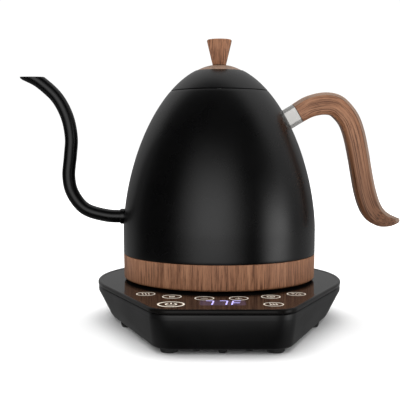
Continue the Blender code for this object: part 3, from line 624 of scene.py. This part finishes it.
def make_body():
    """Painted outside, bare steel inside from the lip down to the vessel floor."""
    lip_z = MOUTH_LEDGE_Z - BODY_WALL
    skirt_top, skirt_bottom = BAND_TOP + GAP, low("body_shell").z
    skirt_r = 0.0762
    skirt_inner_r = skirt_r - 0.0012
    profile = (
        *body_curve(MOUTH_Z, skirt_top, 60),
        (skirt_r, skirt_top), (skirt_r, skirt_bottom), (skirt_inner_r, skirt_bottom),
        (skirt_inner_r, BODY_FLOOR_Z),
        *body_curve(BODY_FLOOR_Z + 0.0005, lip_z, 40, BODY_WALL),
        (MOUTH_HOLE_R, lip_z), (MOUTH_HOLE_R, MOUTH_LEDGE_Z),
        (MOUTH_LEDGE_R, MOUTH_LEDGE_Z), (MOUTH_LEDGE_R, MOUTH_Z),
    )
    piece = lathe("kettle_body", "body_shell", profile, rounding=0.0004, segments=FINE)
    piece.data.materials.append(STEEL_INSIDE)
    for face in piece.data.polygons:
        place = face.center - AXIS
        is_inward = face.normal.x * place.x + face.normal.y * place.y < 0
        if is_inward and BODY_FLOOR_Z < place.z < MOUTH_LEDGE_Z:
            face.material_index = 1


def make_band():
    edge, inner_r = 0.0010, 0.0765
    profile = (
        *body_curve(BAND_TOP, BAND_BOTTOM + edge, 8),
        (body_radius(BAND_BOTTOM) - edge, BAND_BOTTOM), (inner_r, BAND_BOTTOM), (inner_r, BAND_TOP),
    )
    band = lathe("walnut_band", "wood_band", profile, rounding=0.0005, segments=FINE)
    set_grain(band, lambda place: Vector((place.z + 0.3, place.x + 0.3, place.y)))


def spout_lane(line, u, v):
    """One side of the tube's wall from its root up to the level cut of the mouth."""
    lane = []
    for index, point in enumerate(line):
        out = across(line, index) * u
        place = Vector((point[0] + out[0], v, point[1] + out[1]))
        if place.z > SPOUT_CUT_Z and lane:
            share = (SPOUT_CUT_Z - lane[-1].z) / (place.z - lane[-1].z)
            lane.append(lane[-1].lerp(place, share))
            break
        lane.append(place)
    return lane


def lane_point(lane, row, rows):
    """The lane's point for a row. Its last rows share out what is left up to the cut."""
    cut_rows = 8
    steady = rows - cut_rows
    reach = row
    if row >= steady:
        reach = steady + (row - steady) * (len(lane) - 1 - steady) / (cut_rows - 1)
    index = min(int(reach), len(lane) - 2)
    return lane[index].lerp(lane[index + 1], reach - index)


def make_spout():
    """A thin-walled tube, cut level at the mouth."""
    line = smooth_line(SPOUT_LINE, 8)
    radii = (SPOUT_R, SPOUT_BORE_R)
    walls = [[spout_lane(line, u, v) for u, v in circle(radius, 40)] for radius in radii]
    rows = min(len(lane) for wall in walls for lane in wall)
    outside, inside = (
        [[AXIS + lane_point(lane, row, rows) for lane in wall] for row in range(rows)]
        for wall in walls
    )
    add_piece("gooseneck", skin(outside + inside[::-1], is_loop=True), "spout_tube")


def make_collar():
    """The small ring where the spout meets the body, turned round the spout's own line."""
    inner, outer = SPOUT_R + 0.0001, SPOUT_R + 0.0010
    far, near = BODY_R + 0.0028, BODY_R - 0.0008
    profile = ((outer, near), (outer, far), (inner, far), (inner, near))
    root = AXIS + Vector((0, 0, SPOUT_ROOT_Z))
    rings = []
    for radius, reach in softened(profile, 0.0004, True):
        rings.append([root + Vector((-reach, u, v)) for u, v in circle(radius, SMALL)])
    add_piece("spout_ring", skin(rings, is_loop=True), "spout_collar")


def handle_section(half):
    """A square with chamfered, softened corners, as (across, depth) points."""
    chamfer = min(HANDLE_CHAMFER, 0.45 * half)
    flat = half - chamfer
    corners = []
    for cos, sin in ((1, 0), (0, 1), (-1, 0), (0, -1)):
        for u, v in ((half, -flat), (half, 0), (half, flat)):
            corners.append((u * cos - v * sin, u * sin + v * cos))
    return softened(corners, 0.25 * chamfer, True)


def sweep_handle(line):
    """Rings of the handle's section along (x, z, half thickness) points, and their grain."""
    rings = []
    grain = []
    travelled = 0.0
    for index, (x, z, half) in enumerate(line):
        if index:
            travelled += math.hypot(x - line[index - 1][0], z - line[index - 1][1])
        side = across(line, index)
        section = handle_section(half)
        rings.append([AXIS + Vector((x + side[0] * u, v, z + side[1] * u)) for u, v in section])
        grain += [(travelled, v + 0.2, u + 0.1) for u, v in section]
    return rings, grain


def make_ferrule():
    """The steel sleeve, sunk into the body's curve at its inner end."""
    line = ((*FERRULE_START, FERRULE_R), (*FERRULE_END, FERRULE_R))
    (inner, outer), _ = sweep_handle(line)
    rings = [[sunk_into_body(*pair) for pair in zip(inner, outer)], outer]
    add_piece("steel_ferrule", skin(rings, has_ends=True), "handle_ferrule")


def make_grip():
    rings, grain = sweep_handle(rounded_tail(smooth_line(GRIP_LINE, 7)))
    mesh = skin(rings, has_ends=True)
    grip = add_piece("walnut_grip", mesh, "handle_grip", material=WALNUT_GRIP)
    store_grain(grip, grain)
    paint_edge_sheen(grip)


def paint_edge_sheen(piece):
    """The slanted faces on the outer side of the grip, those facing up and out, take a lighter,
    greyer wood: a painted sheen for the light above.
    """
    piece.data.materials.append(WALNUT_SHEEN_EDGE)
    for face in piece.data.polygons:
        if 0.35 < abs(face.normal.y) < 0.92 and face.normal.x + face.normal.z > 0:
            face.material_index = 1


def sunk_into_body(inner, outer):
    """The place between the two that lies just inside the body's wall."""
    sink = 0.0006
    inside, outside = 0.0, 1.0
    for _ in range(24):
        middle = (inside + outside) / 2
        place = inner.lerp(outer, middle) - AXIS
        if math.hypot(place.x, place.y) < body_radius(place.z) - sink:
            inside = middle
        else:
            outside = middle
    return inner.lerp(outer, inside)


def rounded_tail(line):
    """The line with a tight round end in place of its last point."""
    tip, half = line[-1].xy, line[-1].z
    back = (line[-4].xy - tip).normalized()
    tail = []
    for share in (0.9, 0.6, 0.3, 0.1, 0.0):
        place = tip + back * half * share
        tail.append((*place, half * math.sqrt(max(1 - (1 - share) ** 2, 0.02))))
    return [*line[:-1], *tail]


def make_connector_cup():
    """The cup that drops over the base's socket."""
    flange_r = half_width("kettle_connector")
    flange_low, flange_top = 0.0355, 0.0375
    cup_low, cup_top = low("kettle_connector").z, high("kettle_connector").z
    ceiling = 0.0490
    profile = (
        (0, cup_top), (CUP_OUTER_R, cup_top), (CUP_OUTER_R, flange_top),
        (flange_r, flange_top), (flange_r, flange_low), (CUP_OUTER_R, flange_low),
        (CUP_OUTER_R, cup_low), (CUP_INNER_R + 0.0008, cup_low),
        (CUP_INNER_R, cup_low + 0.0010), (CUP_INNER_R, ceiling), (0, ceiling),
    )
    lathe("connector_cup", "kettle_connector", profile)


def make_underside():
    """The cover round the cup, with a rib to stand on and a shallow raised ring."""
    outer_r = half_width("kettle_bottom_cover")
    wall_r, wall_inner_r = outer_r - 0.0015, outer_r - 0.0033
    bottom = low("kettle_bottom_cover").z
    face_z = bottom + 0.0009
    ring_z = face_z + 0.0008
    flange_top, flange_low = 0.0353, 0.0352
    wall_top = 0.0480
    rib_inner, rib_outer, rib_slope = 0.0600, 0.0640, 0.0006
    hole_r = CUP_OUTER_R + GAP
    profile = (
        (wall_r, wall_top), (wall_r, flange_top), (outer_r, flange_top),
        (outer_r - 0.0010, face_z), (rib_outer + rib_slope, face_z), (rib_outer, bottom),
        (rib_inner, bottom), (rib_inner - rib_slope, face_z), (0.0440, face_z),
        (0.0434, ring_z), (0.0420, ring_z), (0.0414, face_z), (hole_r, face_z),
        (hole_r, flange_low), (wall_inner_r, flange_low), (wall_inner_r, wall_top),
    )
    lathe("kettle_underside", "kettle_bottom_cover", profile, segments=FINE)


# ---- Lid ----

def make_lid_dome():
    bottom, top = low("lid_shell").z, high("lid_shell").z
    recess_low = CAP_RECESS_Z - 0.0012
    profile = (
        (LID_BORE_R, CAP_RECESS_Z), (CAP_RECESS_R, CAP_RECESS_Z),
        *body_curve(top, bottom, 24),
        *body_curve(bottom, recess_low, 12, 0.0018),
        (LID_BORE_R, recess_low),
    )
    lathe("lid_dome", "lid_shell", profile, rounding=0.0004, segments=FINE)


def make_lid_cap():
    """The wooden disc let into the dome, low at its rim and rising to the knob."""
    cap_r, top = half_width("lid_cap"), high("lid_cap").z
    rim_z, bottom = 0.2008, 0.1993
    steepness = 1 / 0.62
    rows = []
    for step in range(14):
        share = step / 13
        radius = KNOB_FOOT_R + (cap_r - KNOB_FOOT_R) * share
        rows.append((radius, top - (top - rim_z) * share**steepness))
    profile = ((LID_BORE_R, top), *rows, (cap_r, bottom), (LID_BORE_R, bottom))
    cap = lathe("walnut_cap", "lid_cap", profile, rounding=0.0002, material=WALNUT_CAP)
    set_grain(cap, lambda place: Vector((place.x, place.y * 0.7, place.z + 0.05)))


def make_knob():
    """A cone that widens to the top, with a soft upper edge and a screw hole below."""
    top, bottom = high("lid_knob").z, low("lid_knob").z
    radius = half_width("lid_knob")
    hole_top = 0.2190
    profile = (
        (0, top), (radius * 0.62, top - 0.00005), (radius * 0.93, top - 0.00030),
        (radius - 0.0002, top - 0.0007), (radius, top - 0.0014), (KNOB_FOOT_R, bottom),
        (LID_BORE_R, bottom), (LID_BORE_R, hole_top), (0, hole_top),
    )
    knob = lathe("walnut_knob", "lid_knob", profile, rounding=0.0002)
    set_grain(knob, lambda place: Vector((place.z, place.x + 0.9, place.y * 0.15)))


def make_lid_inside():
    """The steel plate and skirt under the lid, its steam vents, and the ribbed seal."""
    plate_low, plate_top = 0.1826, high("lid_inner_plate").z
    plate_r, skirt_r = half_width("lid_inner_plate"), 0.0325
    skirt_inner_r, skirt_bottom = skirt_r - 0.0012, low("lid_inner_plate").z
    profile = (
        (LID_BORE_R, plate_top), (plate_r, plate_top), (plate_r, plate_low),
        (skirt_r, plate_low), (skirt_r, skirt_bottom), (skirt_inner_r, skirt_bottom),
        (skirt_inner_r, plate_low), (LID_BORE_R, plate_low),
    )
    lathe("lid_plate", "lid_inner_plate", profile, segments=FINE)
    vents_r = 0.018
    for number, degrees in enumerate((90, 210, 330), 1):
        angle = math.radians(degrees)
        add_vent(number, (vents_r * math.cos(angle), vents_r * math.sin(angle)), plate_low)
    add_seal(skirt_r + GAP, MOUTH_HOLE_R - 0.0004)


def add_vent(number, centre, top):
    """A recessed steam vent under the lid: a pressed steel rim round a black disc, painted shade for
    the dark inside of its hole.
    """
    mouth_r, rim_r = 0.0022, 0.0030
    sunk, rim_low, mouth_low = top + 0.0001, top - 0.0004, top - 0.0001
    rim = ((mouth_r, sunk), (rim_r, sunk), (rim_r, rim_low), (mouth_r, rim_low))
    # A thin black disc across the vent's mouth: painted shade, in place of an open hole.
    mouth = ((0, sunk), (mouth_r, sunk), (mouth_r, mouth_low), (0, mouth_low))
    shared = {"segments": SMALL, "centre": centre, "body": "lid"}
    lathe(f"steam_vent_{number}", None, rim, 0.0002, slot="steel", **shared)
    name = f"steam_vent_shade_disc_{number}"
    lathe(name, None, mouth, 0.00005, slot="matt_black_plastic", **shared)


def add_seal(inner, outer):
    """A silicone ring with two lips that press on the kettle's mouth."""
    root = inner + 0.0008
    top, upper_lip, waist, lower_lip, bottom = 0.1820, 0.1808, 0.1796, 0.1784, 0.1772
    profile = (
        (root, top), (outer, upper_lip), (root, waist), (outer, lower_lip), (root, bottom),
        (inner, bottom), (inner, top),
    )
    lathe("lid_gasket", "lid_seal", profile, rounding=0.0002, segments=FINE)


# ---- Base ----

def base_outline(inset, taper, back_steps=120, corner_steps=14):
    """The base's outline, anticlockwise: a round back, straight sides and a flat front."""
    back_r = BASE_BACK_REACH - inset - taper * HOUSING_BACK_TAPER
    front = BASE_FRONT_REACH - inset - taper * HOUSING_FRONT_TAPER
    front_half = FRONT_HALF_WIDTH - 0.65 * inset - 0.8 * taper * HOUSING_FRONT_TAPER
    corner_r = FRONT_CORNER_R - inset
    slant = math.atan2(front, front_half) - math.acos(back_r / math.hypot(front_half, front))
    corner_y = corner_r - front
    corner_x = (back_r - corner_r + corner_y * math.sin(slant)) / math.cos(slant)
    lean = math.degrees(slant)
    left = arc((-corner_x, corner_y), corner_r, 180 + lean, 270, corner_steps)
    right = arc((corner_x, corner_y), corner_r, 270, 360 - lean, corner_steps)
    return [*arc((0, 0), back_r, -lean, 180 + lean, back_steps), *left, *right]


def loft_base(name, node, sections, rounding, is_frame):
    """A loft down (inset, height, taper) sections, its long edges rounded."""
    rings = []
    for inset, height, taper in softened(sections, rounding, is_frame):
        outline = base_outline(inset, taper)
        rings.append([(AXIS.x + x, AXIS.y + y, height) for x, y in outline])
    add_piece(name, skin(rings, is_loop=is_frame, has_ends=not is_frame), node)


def make_touch_panel():
    """The glossy plate, with a rim that stands a hair above its face."""
    rim_top = PLATE_TOP + PLATE_RIM
    sections = (
        (0.0034, PLATE_TOP, 0), (0.0026, rim_top, 0), (0.0008, rim_top, 0),
        (0.0, PLATE_TOP - 0.0005, 0), (0.0, PLATE_BOTTOM + 0.0004, 0), (0.0005, PLATE_BOTTOM, 0),
    )
    loft_base("touch_panel", "base_top_plate", sections, 0.0004, is_frame=False)


def make_casing():
    """The base's wall: an upright band under the plate, then leaning in to the foot."""
    inner = HOUSING_INSET + HOUSING_WALL
    sections = (
        (HOUSING_INSET + 0.0004, HOUSING_TOP, 0), (HOUSING_INSET, HOUSING_TOP - 0.0006, 0),
        (HOUSING_INSET, HOUSING_TOP - HOUSING_BAND, 0), (HOUSING_INSET, HOUSING_BOTTOM + 0.0012, 1),
        (HOUSING_INSET + 0.0010, HOUSING_BOTTOM, 1), (inner, HOUSING_BOTTOM, 1),
        (inner, HOUSING_TOP, 0),
    )
    loft_base("base_casing", "base_housing", sections, 0.0012, is_frame=True)


def make_bottom_cover():
    bottom, top = low("base_bottom_cover").z, high("base_bottom_cover").z
    edge = HOUSING_INSET + HOUSING_WALL + GAP
    sections = ((edge, top, 1), (edge, bottom + 0.0004, 1), (edge + 0.0006, bottom, 1))
    loft_base("base_underside", "base_bottom_cover", sections, 0.0003, is_frame=False)


def make_feet():
    """Rubber feet with a grooved rim and a dished underside."""
    for node in sorted(frame["nodes"]):
        if not node.startswith("foot_"):
            continue
        corner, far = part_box(node)
        radius = (far.x - corner.x) / 2
        profile = (
            (0, far.z), (radius, far.z), (radius - 0.0003, 0.0018),
            (radius - 0.0005, 0.0015), (radius - 0.0003, 0.0012), (radius - 0.0009, 0),
            (radius - 0.0022, 0), (radius - 0.0026, 0.0004), (0, 0.0004),
        )
        centre = ((corner.x + far.x) / 2 - AXIS.x, (corner.y + far.y) / 2 - AXIS.y)
        name = node.replace("foot", "rubber_foot")
        lathe(name, node, profile, rounding=0.0002, segments=SMALL, centre=centre)


def make_socket():
    """The raised round socket, its ring contact and its centre contact."""
    top, radius, flange_r = high("base_socket").z, 0.0190, half_width("base_socket")
    flange_top, groove_low, hole_low = PLATE_TOP + 0.0016, 0.0345, 0.0280
    body = (
        (GROOVE_OUTER_R, top), (radius - 0.0008, top), (radius, top - 0.0010),
        (radius, flange_top), (flange_r, flange_top), (flange_r, PLATE_TOP),
        (PIN_HOLE_R / 2, PLATE_TOP - 0.0040), (PIN_HOLE_R / 2, hole_low),
        (PIN_HOLE_R, hole_low), (PIN_HOLE_R, top), (GROOVE_INNER_R, top),
        (GROOVE_INNER_R, groove_low), (GROOVE_OUTER_R, groove_low),
    )
    lathe("socket", "base_socket", body, rounding=0.0004)
    inner, outer = GROOVE_INNER_R + GAP, GROOVE_OUTER_R - GAP
    ring_low, ring_top = groove_low + 0.0003, high("ring_contact").z
    ring = ((outer, ring_top), (outer, ring_low), (inner, ring_low), (inner, ring_top))
    lathe("ring_terminal", "ring_contact", ring)
    pin_top, pin_low, pin_r = high("centre_contact").z, low("centre_contact").z, 0.0030
    tip_r, shoulder = pin_r - 0.0010, pin_top - 0.0010
    pin = ((0, pin_top), (tip_r, pin_top), (pin_r, shoulder), (pin_r, pin_low), (0, pin_low))
    lathe("centre_terminal", "centre_contact", pin, segments=SMALL)


def make_gland():
    """The rubber bush in the rear wall, with ribs that grip a lead."""
    corner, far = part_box("cord_gland")
    height = (corner.z + far.z) / 2
    outer, bore, rib, rib_depth = (far.z - corner.z) / 2, 0.0033, 0.0012, 0.0004
    profile = [(outer, corner.y), (outer, far.y)]
    start = far.y
    while start - rib > corner.y:
        profile += [(bore, start - 0.0001), (bore + rib_depth, start - rib / 2), (bore, start - rib)]
        start -= rib
    profile.append((bore, corner.y))
    rings = []
    for radius, y in profile:
        rings.append([(AXIS.x + u, y, height + v) for u, v in circle(radius, SMALL)])
    add_piece("cable_bush", skin(rings, is_loop=True), "cord_gland")


# ---- Touch symbols and display ----

def ribbon(shape, points, width, closed=False):
    """A thin raised stroke on the panel along (x, y) points round the kettle's axis."""
    bottom, top = PLATE_TOP - 0.00005, PLATE_TOP + PRINT_HEIGHT
    path = [Vector(point) for point in points]
    count = len(path)
    rings = []
    for index, point in enumerate(path):
        before = path[index - 1] if closed or index else point
        after = path[(index + 1) % count] if closed or index < count - 1 else point
        along = after - before
        side = Vector((-along.y, along.x)).normalized() * width / 2
        left, right = AXIS.xy + point + side, AXIS.xy + point - side
        rings.append([(*left, top), (*right, top), (*right, bottom), (*left, bottom)])
    add_skin(shape, rings, is_loop=closed, has_ends=not closed)


def wave(x, low_y, high_y, sway, steps=12):
    """A rising squiggle, as drawn for steam."""
    points = []
    for step in range(steps + 1):
        share = step / steps
        points.append((x + sway * math.sin(2 * math.pi * share), low_y + (high_y - low_y) * share))
    return points


# Each symbol is a list of strokes round (0, 0). One unit is SYMBOL_SHARE of its ring's radius.
SYMBOL_SHARE = 0.78
SYMBOLS = {
    "touch_steam": [wave(x, -0.45, 0.45, 0.10) for x in (-0.42, 0, 0.42)],
    "touch_cup": [
        [(-0.3, 0.35), (-0.3, -0.4), (0.3, -0.4), (0.3, 0.35), (-0.3, 0.35)],
        [(-0.3, 0), (0.3, 0)],
    ],
    "touch_minus": [[(-0.45, 0), (0.45, 0)]],
    "touch_plus": [[(-0.45, 0), (0.45, 0)], [(0, -0.45), (0, 0.45)]],
    "touch_timer": [arc((0, 0), 0.5, 0, 360), [(0, 0.32), (0, 0), (0.24, -0.1)]],
    "touch_degrees": [
        arc((-0.42, 0.2), 0.17, 0, 360, 16),
        [(-0.12, -0.4), (0.14, 0.4)],
        arc((0.44, -0.1), 0.17, 0, 360, 16),
    ],
    "touch_power": [arc((0, 0), 0.5, 125, 415), [(0, 0.05), (0, 0.68)]],
    "touch_warm": [
        *(wave(x, -0.15, 0.5, 0.08) for x in (-0.38, 0, 0.38)),
        [(-0.55, -0.38), (0.55, -0.38)],
    ],
}


def add_icon(name, centre, radius=ICON_R, stroke=ICON_STROKE):
    """A ring with a symbol in it."""
    shape = bmesh.new()
    steps = 64
    ring = arc(centre, radius - stroke / 2, 0, 360 - 360 / steps, steps - 1)
    ribbon(shape, ring, stroke, closed=True)
    size = radius * SYMBOL_SHARE
    for points in SYMBOLS[name]:
        placed = [(centre[0] + x * size, centre[1] + y * size) for x, y in points]
        ribbon(shape, placed, stroke * 0.8)
    add_piece(name, close_mesh(shape), slot="gloss_black_plate", material=PRINT, body="base")


def make_icons():
    """Six small rings in an arc round the kettle, and one on each side of the display."""
    names = ("steam", "cup", "minus", "plus", "timer", "degrees")
    for name, degrees in zip(names, (-36.0, -22.3, -7.5, 7.5, 22.3, 36.0)):
        angle = math.radians(degrees)
        add_icon(f"touch_{name}", (ICON_ARC_R * math.sin(angle), -ICON_ARC_R * math.cos(angle)))
    add_icon("touch_power", (-ICON_ROW_X, ICON_ROW_Y), POWER_R, POWER_STROKE)
    add_icon("touch_warm", (ICON_ROW_X, ICON_ROW_Y))


SEGMENTS = {
    "top": ((0, 2), (1, 2)),
    "upper_right": ((1, 2), (1, 1)),
    "lower_right": ((1, 1), (1, 0)),
    "lower_left": ((0, 0), (0, 1)),
    "upper_left": ((0, 1), (0, 2)),
    "middle": ((0, 1), (1, 1)),
}
SEVEN = ("top", "upper_right", "lower_right")
LETTER_F = ("top", "upper_left", "lower_left", "middle")


def make_digits():
    """The temperature in slanted bars of light: two sevens and an F."""
    width, half_height, pitch = 0.0058, 0.0074, 0.0098
    lean, bar_gap, bar_width = 0.10, 0.07, 0.0011
    shape = bmesh.new()
    for place, names in enumerate((SEVEN, SEVEN, LETTER_F)):
        left = DISPLAY_X + (place - 1) * pitch - width / 2
        for name in names:
            ends = []
            for u, v in SEGMENTS[name]:
                rise = (v - 1) * half_height
                ends.append(Vector((left + u * width + lean * rise, DISPLAY_Y + rise)))
            trim = (ends[1] - ends[0]) * bar_gap
            ribbon(shape, (ends[0] + trim, ends[1] - trim), bar_width)
    add_piece("display_digits", close_mesh(shape), slot="display", material=DIGITS, body="base")


def make_window():
    """The display's faintly glowing window, a thin slab with round corners."""
    half_long, half_deep, edge, rise = 0.0160, 0.0092, 0.0022, 0.00002
    middle = AXIS + Vector((DISPLAY_X, DISPLAY_Y, PLATE_TOP))
    rings = []
    for inset, height in ((0.0, -0.00005), (0.0, rise), (edge, rise)):
        x, y = half_long - inset, half_deep - inset
        outline = softened(((x, y), (-x, y), (-x, -y), (x, -y)), 0.0030, True, 5)
        rings.append([middle + Vector((*place, height)) for place in outline])
    mesh = skin(rings, has_ends=True)
    add_piece("display_window", mesh, slot="display", material=GLOW, body="base")


# ---- CAD nodes that stay ----

def dress_carried_nodes():
    """Hidden and small pieces keep their CAD shape, with eased edges and real materials."""
    for name, node in frame["nodes"].items():
        if node.hide_render:
            continue
        node.data.materials.clear()
        node.data.materials.append(MATERIALS[SLOT_OF[name]])
        weld = node.modifiers.new("Weld", "WELD")
        weld.merge_threshold = 0.000005
        ease = node.modifiers.new("Ease", "BEVEL")
        ease.width = 0.00015
        ease.segments = 2
        ease.limit_method = "ANGLE"
        ease.angle_limit = math.radians(40)


# ---- Stage ----

def add_softbox(name, place, target, width, height, radiance):
    """A rectangular area light that shows neither to the camera nor in reflections."""
    data = bpy.data.lights.new(name, "AREA")
    data.shape = "RECTANGLE"
    data.size = width
    data.size_y = height
    data.energy = radiance * math.pi * width * height
    light = bpy.data.objects.new(name, data)
    light.location = AXIS + Vector(place)
    light.rotation_mode = "QUATERNION"
    direction = Vector(target) - Vector(place)
    light.rotation_quaternion = direction.to_track_quat("-Z", "Y")
    light.visible_camera = False
    light.visible_glossy = False
    bpy.context.scene.collection.objects.link(light)


def make_lights():
    add_softbox("front_strip", (-0.16, -1.60, 0.62), (0, 0, 0.10), 0.62, 1.20, 2.4)
    add_softbox("right_strip", (1.34, -0.47, 0.27), (0, 0, 0.10), 0.40, 0.52, 4.0)
    add_softbox("overhead", (0.0, 0.42, 1.28), (0, 0.14, 0), 1.60, 1.10, 2.8)


class Arithmetic:
    """Short calls for the arithmetic nodes of the world."""

    def __init__(self, tree):
        self.tree = tree

    def math(self, operation, *values):
        node = add_node(self.tree, "ShaderNodeMath", operation=operation)
        for socket, value in zip(node.inputs, values):
            feed(self.tree, socket, value)
        return node.outputs[0]

    def rise(self, source, start, end):
        """0 before start, 1 after end, smooth between. It falls if end comes first."""
        spread = add_node(self.tree, "ShaderNodeMapRange", interpolation_type="SMOOTHSTEP",
                          Value=source, From_Min=start, From_Max=end)
        return spread.outputs["Result"]

    def window(self, source, edges):
        """1 between the middle two edges, fading to 0 at the outer two."""
        start, full, last, end = edges
        return self.math("MULTIPLY", self.rise(source, start, full), self.rise(source, end, last))

    def product(self, first, *others):
        for other in others:
            first = self.math("MULTIPLY", first, other)
        return first

    def total(self, first, *others):
        for other in others:
            first = self.math("ADD", first, other)
        return first


def studio_reflections(tree):
    """Brightness of a dark studio by direction: two soft strips in front, a pale back.

    Bearings are in degrees from the front to the right, rises in degrees from level."""
    nodes = Arithmetic(tree)
    direction = add_node(tree, "ShaderNodeTexCoord").outputs["Generated"]
    x, y, z = add_node(tree, "ShaderNodeSeparateXYZ", Vector=direction).outputs
    forward = nodes.math("MULTIPLY", y, -1.0)
    bearing = nodes.math("DEGREES", nodes.math("ARCTAN2", x, forward))
    rise = nodes.math("DEGREES", nodes.math("ARCSINE", z))
    front_width = nodes.window(bearing, (-60, -15, -2, 38))
    front_strip = nodes.product(front_width, nodes.window(rise, (-20, -6, 12, 44)), 1.45)
    side_width = nodes.window(bearing, (46, 66, 72, 96))
    side_strip = nodes.product(side_width, nodes.window(rise, (-20, -6, 0, 20)), 2.5)
    swing = nodes.total(y, nodes.math("MULTIPLY", x, 0.35))
    paleness = nodes.total(nodes.product(nodes.math("ABSOLUTE", z), 0.6), 0.18)
    back = nodes.product(nodes.rise(swing, -0.12, 0.33), paleness, nodes.rise(z, -0.38, -0.10))
    ground = nodes.product(nodes.rise(y, -0.7, -0.1), nodes.rise(z, -0.1, -0.4), 0.15)
    return nodes.total(front_strip, side_strip, back, ground, 0.005)


def make_world():
    """Soft ambient light, a darker studio in reflections, and white behind the object."""
    world = bpy.data.worlds.new("studio")
    bpy.context.scene.world = world
    world.use_nodes = True
    tree = world.node_tree
    tree.nodes.clear()
    rays = tree.nodes.new("ShaderNodeLightPath")
    shade, in_reflections, seen = (
        add_node(tree, "ShaderNodeBackground", Color=(1, 1, 1, 1), Strength=strength).outputs[0]
        for strength in (AMBIENT_LIGHT, studio_reflections(tree), BACKDROP)
    )
    for chosen, output in ((in_reflections, "Is Glossy Ray"), (seen, "Is Camera Ray")):
        mix = add_node(tree, "ShaderNodeMixShader", Fac=rays.outputs[output])
        tree.links.new(shade, mix.inputs[1])
        tree.links.new(chosen, mix.inputs[2])
        shade = mix.outputs[0]
    add_node(tree, "ShaderNodeOutputWorld", Surface=shade)


def make_floor():
    """A pale floor that stays out of reflections.

    Further off it is lit up to white, as a curved backdrop would be."""
    shape = bmesh.new()
    bmesh.ops.create_grid(shape, x_segments=2, y_segments=2, size=6)
    mesh = bpy.data.meshes.new("floor")
    shape.to_mesh(mesh)
    shape.free()
    floor = bpy.data.objects.new("floor", mesh)
    bpy.context.scene.collection.objects.link(floor)
    paint = Paint("pale_floor", (0.93, 0.93, 0.93), 0.9)
    paint.set("Specular IOR Level", 0.0)
    speckle = paint.noise(paint.object_place(), 400)
    shade = paint.ramp(speckle, ((0.3, (0.925, 0.925, 0.925)), (0.7, (0.935, 0.935, 0.935))))
    reach = paint.node("ShaderNodeVectorMath", operation="LENGTH", Vector=paint.object_place())
    glow = paint.spread(reach.outputs["Value"], 0.0, 0.5, 0.3, 1.2)
    paint.set("Emission Color", (1, 1, 1, 1))
    paint.set("Emission Strength", glow)
    mesh.materials.append(paint.finish(shade))
    floor.visible_glossy = False


def make_camera():
    """In front, a little to the left, 144 mm above the table and tipped down."""
    side, distance, height = -0.0139, 0.700, 0.144
    tip, turn = math.radians(3.953), math.radians(0.148)
    data = bpy.data.cameras.new("camera")
    data.sensor_width = 36
    data.lens = 76.83
    data.clip_start = 0.05
    camera = bpy.data.objects.new("camera", data)
    camera.location = AXIS + Vector((side, -distance, height))
    camera.rotation_euler = (math.pi / 2 - tip, 0, turn)
    bpy.context.scene.collection.objects.link(camera)
    bpy.context.scene.camera = camera


def main():
    make_camera()
    make_world()
    make_lights()
    make_floor()
    make_touch_panel()
    make_casing()
    make_bottom_cover()
    make_feet()
    make_socket()
    make_gland()
    make_icons()
    make_digits()
    make_window()
    make_body()
    make_band()
    make_spout()
    make_collar()
    make_ferrule()
    make_grip()
    make_connector_cup()
    make_underside()
    make_lid_dome()
    make_lid_cap()
    make_knob()
    make_lid_inside()
    dress_carried_nodes()
    bpy.context.scene.view_settings.view_transform = "Standard"


main()
bpy.context.view_layer.update()
